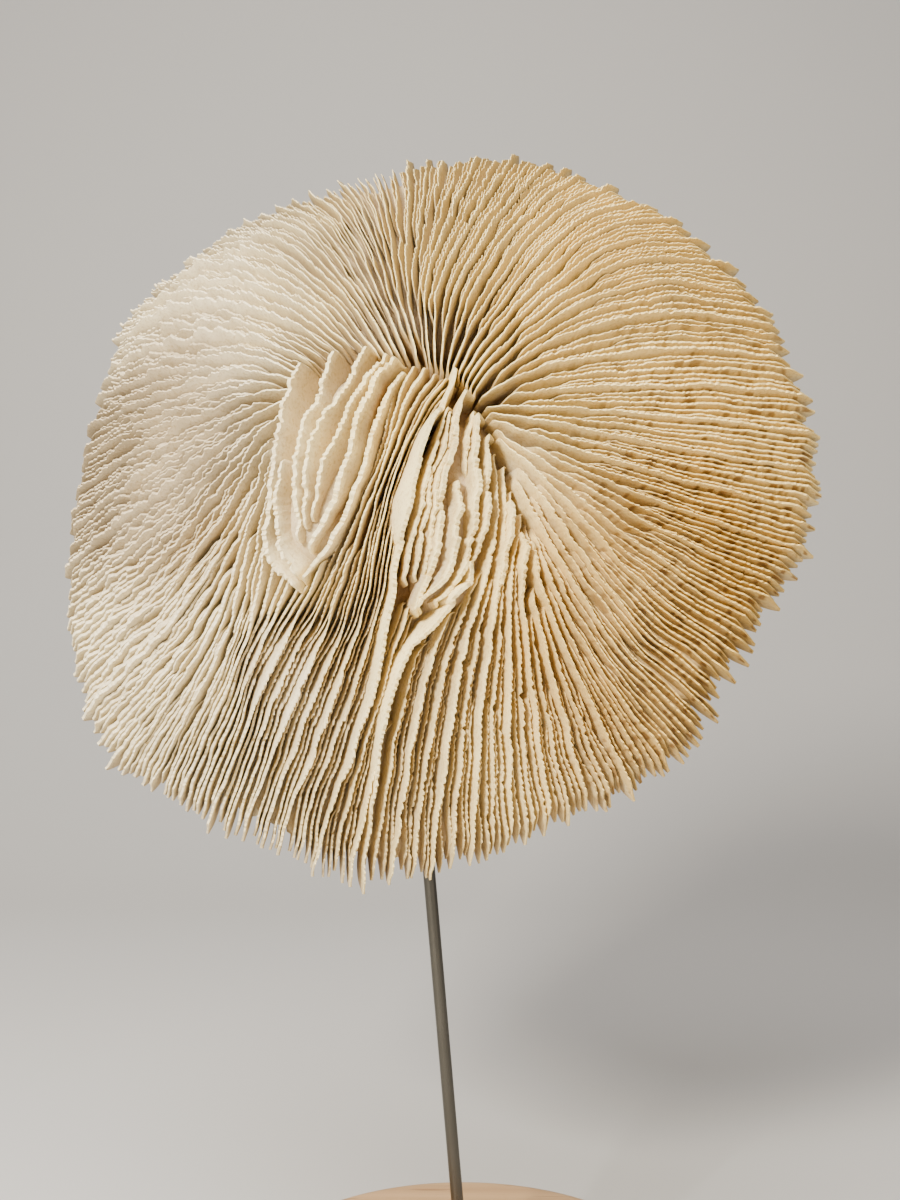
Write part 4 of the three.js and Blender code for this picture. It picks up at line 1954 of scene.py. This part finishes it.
@dataclass(frozen=True)
class SteelFinish:
    """Drawn steel with fine marks along it, with scales in repeats in a metre."""

    colour: tuple[float, ...] = srgb(92, 89, 82)
    smudge: tuple[float, ...] = srgb(60, 57, 52)
    mark_scale: float = 5200.0
    mark_stretch: tuple[float, float, float] = (1.0, 1.0, 0.02)
    mark_depth: float = 0.00005
    mark_strength: float = 0.6
    mark_roughness: float = 0.25
    smudge_scale: float = 90.0
    smudge_share: float = 0.35
    smudge_roughness: float = 0.2
    roughness: float = 0.3

    def material(self, lean: float) -> bpy.types.Material:
        """Builds the material.

        Args:
            lean: Lean of the rod in radians, which the marks follow.

        Returns:
            The material.
        """
        g = ShaderGraph("drawn steel")
        turned = g.signal(
            "ShaderNodeMapping", None, {"Vector": g.place(), "Rotation": (0.0, lean, 0.0)}
        )
        marks = g.noise(g.vector("MULTIPLY", turned, self.mark_stretch), self.mark_scale, 3.0, 0.6)
        smudge = g.noise(turned, self.smudge_scale, 2.0)
        marked = self.roughness + (marks - 0.5) * self.mark_roughness
        rough = marked + (smudge - 0.5) * self.smudge_roughness
        colour = g.mixed(smudge * self.smudge_share, self.colour, self.smudge)
        normal = g.bump(marks, self.mark_depth, self.mark_strength)
        return g.surface(Base_Color=colour, Metallic=1.0, Roughness=rough, Normal=normal)


@dataclass
class SteelRod:
    """The thin rod between the base and the coral."""

    radius: float = 1.25
    lean_deg: float = 4.9
    foot_height: float = 18.0
    showing: float = 82.2
    in_base: float = 2.5
    in_coral: float = 12.0
    end_ease: float = 0.2
    ring_margin: float = 1.0
    sides: int = 32
    rings: int = 24

    def build(self) -> bpy.types.Object:
        """Makes the rod with eased ends.

        Returns:
            The finished piece.
        """
        low, high = -self.in_base, self.showing + self.in_coral
        eased = self.radius - self.end_ease
        outline = [(0.0, low), (eased, low), (self.radius, low + self.end_ease)]
        rings = np.linspace(low + self.ring_margin, high - self.ring_margin, self.rings)
        outline += [(self.radius, height) for height in rings]
        outline += [(self.radius, high - self.end_ease), (eased, high), (0.0, high)]
        mesh = lathe("steel_rod", outline, self.sides)
        lean = math.radians(self.lean_deg)
        direction = Vector((-math.sin(lean), 0.0, math.cos(lean)))
        turn = Vector((0.0, 0.0, 1.0)).rotation_difference(direction).to_matrix().to_4x4()
        turn.translation = Vector((0.0, 0.0, self.foot_height * MM))
        mesh.transform(turn)
        mesh.materials.append(SteelFinish().material(lean))
        piece = as_object("steel_rod", mesh)
        mount_piece(piece, "rod")
        return piece


@dataclass(frozen=True)
class WoodFinish:
    """Pale turned wood with fine grain and a thin satin coat.

    Scales are repeats in a metre, and stretches what they are multiplied by along the grain.
    """

    light: tuple[float, ...] = srgb(206, 166, 118)
    dark: tuple[float, ...] = srgb(168, 124, 78)
    pore: tuple[float, ...] = srgb(128, 90, 54)
    bend_scale: float = 26.0
    bend_stretch: float = 0.12
    ring_scale: float = 150.0
    ring_slope: float = 0.35
    ring_bend: float = 3.2
    ring_share: float = 0.45
    fibre_scale: float = 1900.0
    fibre_stretch: float = 0.03
    fibre_share: float = 0.5
    fibre_roughness: float = 0.2
    pore_scale: float = 900.0
    pore_stretch: float = 0.06
    pore_zone: tuple[float, float] = (0.62, 0.74)
    pore_share: float = 0.45
    pore_depth: float = 0.6
    pore_roughness: float = 0.15
    relief_depth: float = 0.0002
    relief_strength: float = 0.35
    roughness: float = 0.48
    coat: float = 0.12
    coat_roughness: float = 0.35

    def material(self) -> bpy.types.Material:
        """Builds the material, with the grain along X.

        Returns:
            The material.
        """
        g = ShaderGraph("turned wood")
        place = g.place()
        _, y, z = g.parts(place)

        def drawn(stretch: float) -> Signal:
            """The place, drawn out along the grain."""
            return g.vector("MULTIPLY", place, (stretch, 1.0, 1.0))

        bend = g.noise(drawn(self.bend_stretch), self.bend_scale, 2.0)
        across = (y + z * self.ring_slope) * self.ring_scale + bend * self.ring_bend
        rings = g.math("PINGPONG", across, 0.5) * 2.0
        fibres = g.noise(drawn(self.fibre_stretch), self.fibre_scale, 3.0, 0.65)
        pores = g.step(g.noise(drawn(self.pore_stretch), self.pore_scale, 1.0), *self.pore_zone)
        grain = rings * self.ring_share + (fibres - 0.5) * self.fibre_share
        colour = g.mixed(grain, self.light, self.dark)
        colour = g.mixed(pores * self.pore_share, colour, self.pore)
        rough = self.roughness + (fibres - 0.5) * self.fibre_roughness + pores * self.pore_roughness
        return g.surface(
            Base_Color=colour,
            Roughness=rough,
            Normal=g.bump(fibres - pores * self.pore_depth, self.relief_depth, self.relief_strength),
            Coat_Roughness=self.coat_roughness,
            Coat_Weight=self.coat,
        )


@dataclass
class WoodenBase:
    """The round base with a rounded top edge and a drilled hole."""

    radius: float = 50.0
    height: float = 18.0
    edge_round: float = 4.0
    foot_chamfer: float = 1.0
    hole_radius: float = 1.55
    hole_depth: float = 3.0
    hole_ease: float = 0.25
    chamfer_steps: int = 4
    edge_steps: int = 10
    top_rings: int = 12
    sides: int = 144

    def outline(self) -> list[tuple[float, float]]:
        """Works out the turned outline.

        Returns:
            Radius and height of each point, from the underside to the hole.
        """
        points = [(0.0, 0.0), (self.radius - self.foot_chamfer, 0.0)]
        for turn in np.linspace(-math.pi / 2, 0.0, self.chamfer_steps + 1)[1:]:
            reach = self.radius - self.foot_chamfer + self.foot_chamfer * math.cos(turn)
            points.append((reach, self.foot_chamfer + self.foot_chamfer * math.sin(turn)))
        for turn in np.linspace(0.0, math.pi / 2, self.edge_steps + 1):
            reach = self.radius - self.edge_round * (1 - math.cos(turn))
            points.append((reach, self.height - self.edge_round * (1 - math.sin(turn))))
        flat = np.linspace(self.radius - self.edge_round, self.hole_radius + self.hole_ease, self.top_rings)
        points += [(float(radius), self.height) for radius in flat[1:]]
        points.append((self.hole_radius, self.height - self.hole_ease))
        points.append((self.hole_radius, self.height - self.hole_depth))
        points.append((0.0, self.height - self.hole_depth))
        return points

    def build(self) -> bpy.types.Object:
        """Makes the base.

        Returns:
            The finished piece.
        """
        mesh = lathe("wooden_base", self.outline(), self.sides)
        mesh.materials.append(WoodFinish().material())
        piece = as_object("wooden_base", mesh)
        mount_piece(piece, "base")
        return piece


@dataclass(frozen=True)
class Lamp:
    """A square area light: its place and the length of its side in metres, its watts and its colour."""

    name: str
    place: tuple[float, float, float]
    size: float
    power: float
    colour: tuple[float, ...]


@dataclass
class Studio:
    """Pale floor and backdrop, soft lights and the camera.

    The key stands at the upper left in front, with a warm fill on the right and a soft light from above.
    """

    camera_place: tuple[float, float, float] = (-2.95, -262.0, 156.3)
    lens_mm: float = 39.0
    sensor_mm: float = 36.0
    floor_half: float = 1.6
    wall_distance: float = 0.75
    cove_radius: float = 0.35
    wall_height: float = 1.6
    cove_steps: int = 16
    floor_colours: tuple[tuple[float, ...], ...] = (srgb(206, 203, 198), srgb(212, 209, 204))
    floor_shade_scale: float = 3.0
    floor_roughness: float = 0.9
    lamps: tuple[Lamp, ...] = (
        Lamp("key", (-0.30, -0.48, 0.46), 0.14, 10.8, srgb(255, 249, 238)),
        Lamp("fill", (0.55, -0.55, 0.30), 0.6, 1.6, srgb(255, 240, 220)),
        Lamp("top", (-0.2, -0.28, 0.85), 0.5, 6.0, srgb(252, 250, 250)),
    )
    lamp_target: tuple[float, float, float] = (-0.008, 0.015, 0.17)
    surround: tuple[float, ...] = srgb(232, 234, 240)
    surround_strength: float = 0.22
    clip_range: tuple[float, float] = (0.01, 20.0)

    def floor(self) -> None:
        """Makes the floor that curves up into a backdrop."""
        profile = [(-self.floor_half, 0.0), (self.wall_distance - self.cove_radius, 0.0)]
        for turn in np.linspace(0.0, math.pi / 2, self.cove_steps + 1)[1:]:
            away = self.wall_distance - self.cove_radius + self.cove_radius * math.sin(turn)
            profile.append((away, self.cove_radius * (1 - math.cos(turn))))
        profile.append((self.wall_distance, self.wall_height))
        points = [(x, y, z) for y, z in profile for x in (-self.floor_half, self.floor_half)]
        faces = [(2 * k, 2 * k + 1, 2 * k + 3, 2 * k + 2) for k in range(len(profile) - 1)]
        mesh = bpy.data.meshes.new("studio_floor")
        mesh.from_pydata(points, [], faces)
        mesh.shade_smooth()
        g = ShaderGraph("pale floor")
        shade = g.noise(g.place(), self.floor_shade_scale, 2.0)
        colour = g.mixed(shade, *self.floor_colours)
        mesh.materials.append(g.surface(Base_Color=colour, Roughness=self.floor_roughness))
        as_object("studio_floor", mesh)

    def lights(self) -> None:
        """Sets the lights, which all point at the coral, and an even surround."""
        for lamp in self.lamps:
            light = bpy.data.lights.new(lamp.name, "AREA")
            light.size = lamp.size
            light.energy = lamp.power
            light.color = lamp.colour[:3]
            made = bpy.data.objects.new(lamp.name, light)
            made.location = lamp.place
            aim = Vector(self.lamp_target) - Vector(lamp.place)
            made.rotation_euler = aim.to_track_quat("-Z", "Y").to_euler()
            bpy.context.scene.collection.objects.link(made)
        world = bpy.data.worlds.new("surround")
        world.use_nodes = True
        background = world.node_tree.nodes["Background"]
        background.inputs["Color"].default_value = self.surround
        background.inputs["Strength"].default_value = self.surround_strength
        bpy.context.scene.world = world

    def camera(self) -> None:
        """Sets the camera level, looking along +Y."""
        eye = bpy.data.cameras.new("camera")
        eye.lens = self.lens_mm
        eye.sensor_width = self.sensor_mm
        eye.clip_start, eye.clip_end = self.clip_range
        made = bpy.data.objects.new("camera", eye)
        made.location = Vector(self.camera_place) * MM
        made.rotation_euler = (math.pi / 2, 0.0, 0.0)
        bpy.context.scene.collection.objects.link(made)
        bpy.context.scene.camera = made

    def build(self) -> None:
        """Makes the floor, the lights and the camera."""
        self.floor()
        self.lights()
        self.camera()


def main() -> None:
    """Builds every piece in order."""
    logging.basicConfig(level=logging.INFO, format="%(message)s")
    form = CoralForm()
    tree = BladeTree()
    coral = CoralFinish().material()
    Studio().build()
    CoralWall(form).build(coral)
    Septa(form, tree).build(coral)
    LobeRibbons(form, tree).build(coral)
    Costae(form, tree).build(coral)
    SteelRod().build()
    WoodenBase().build()


if __name__ == "__main__":
    main()
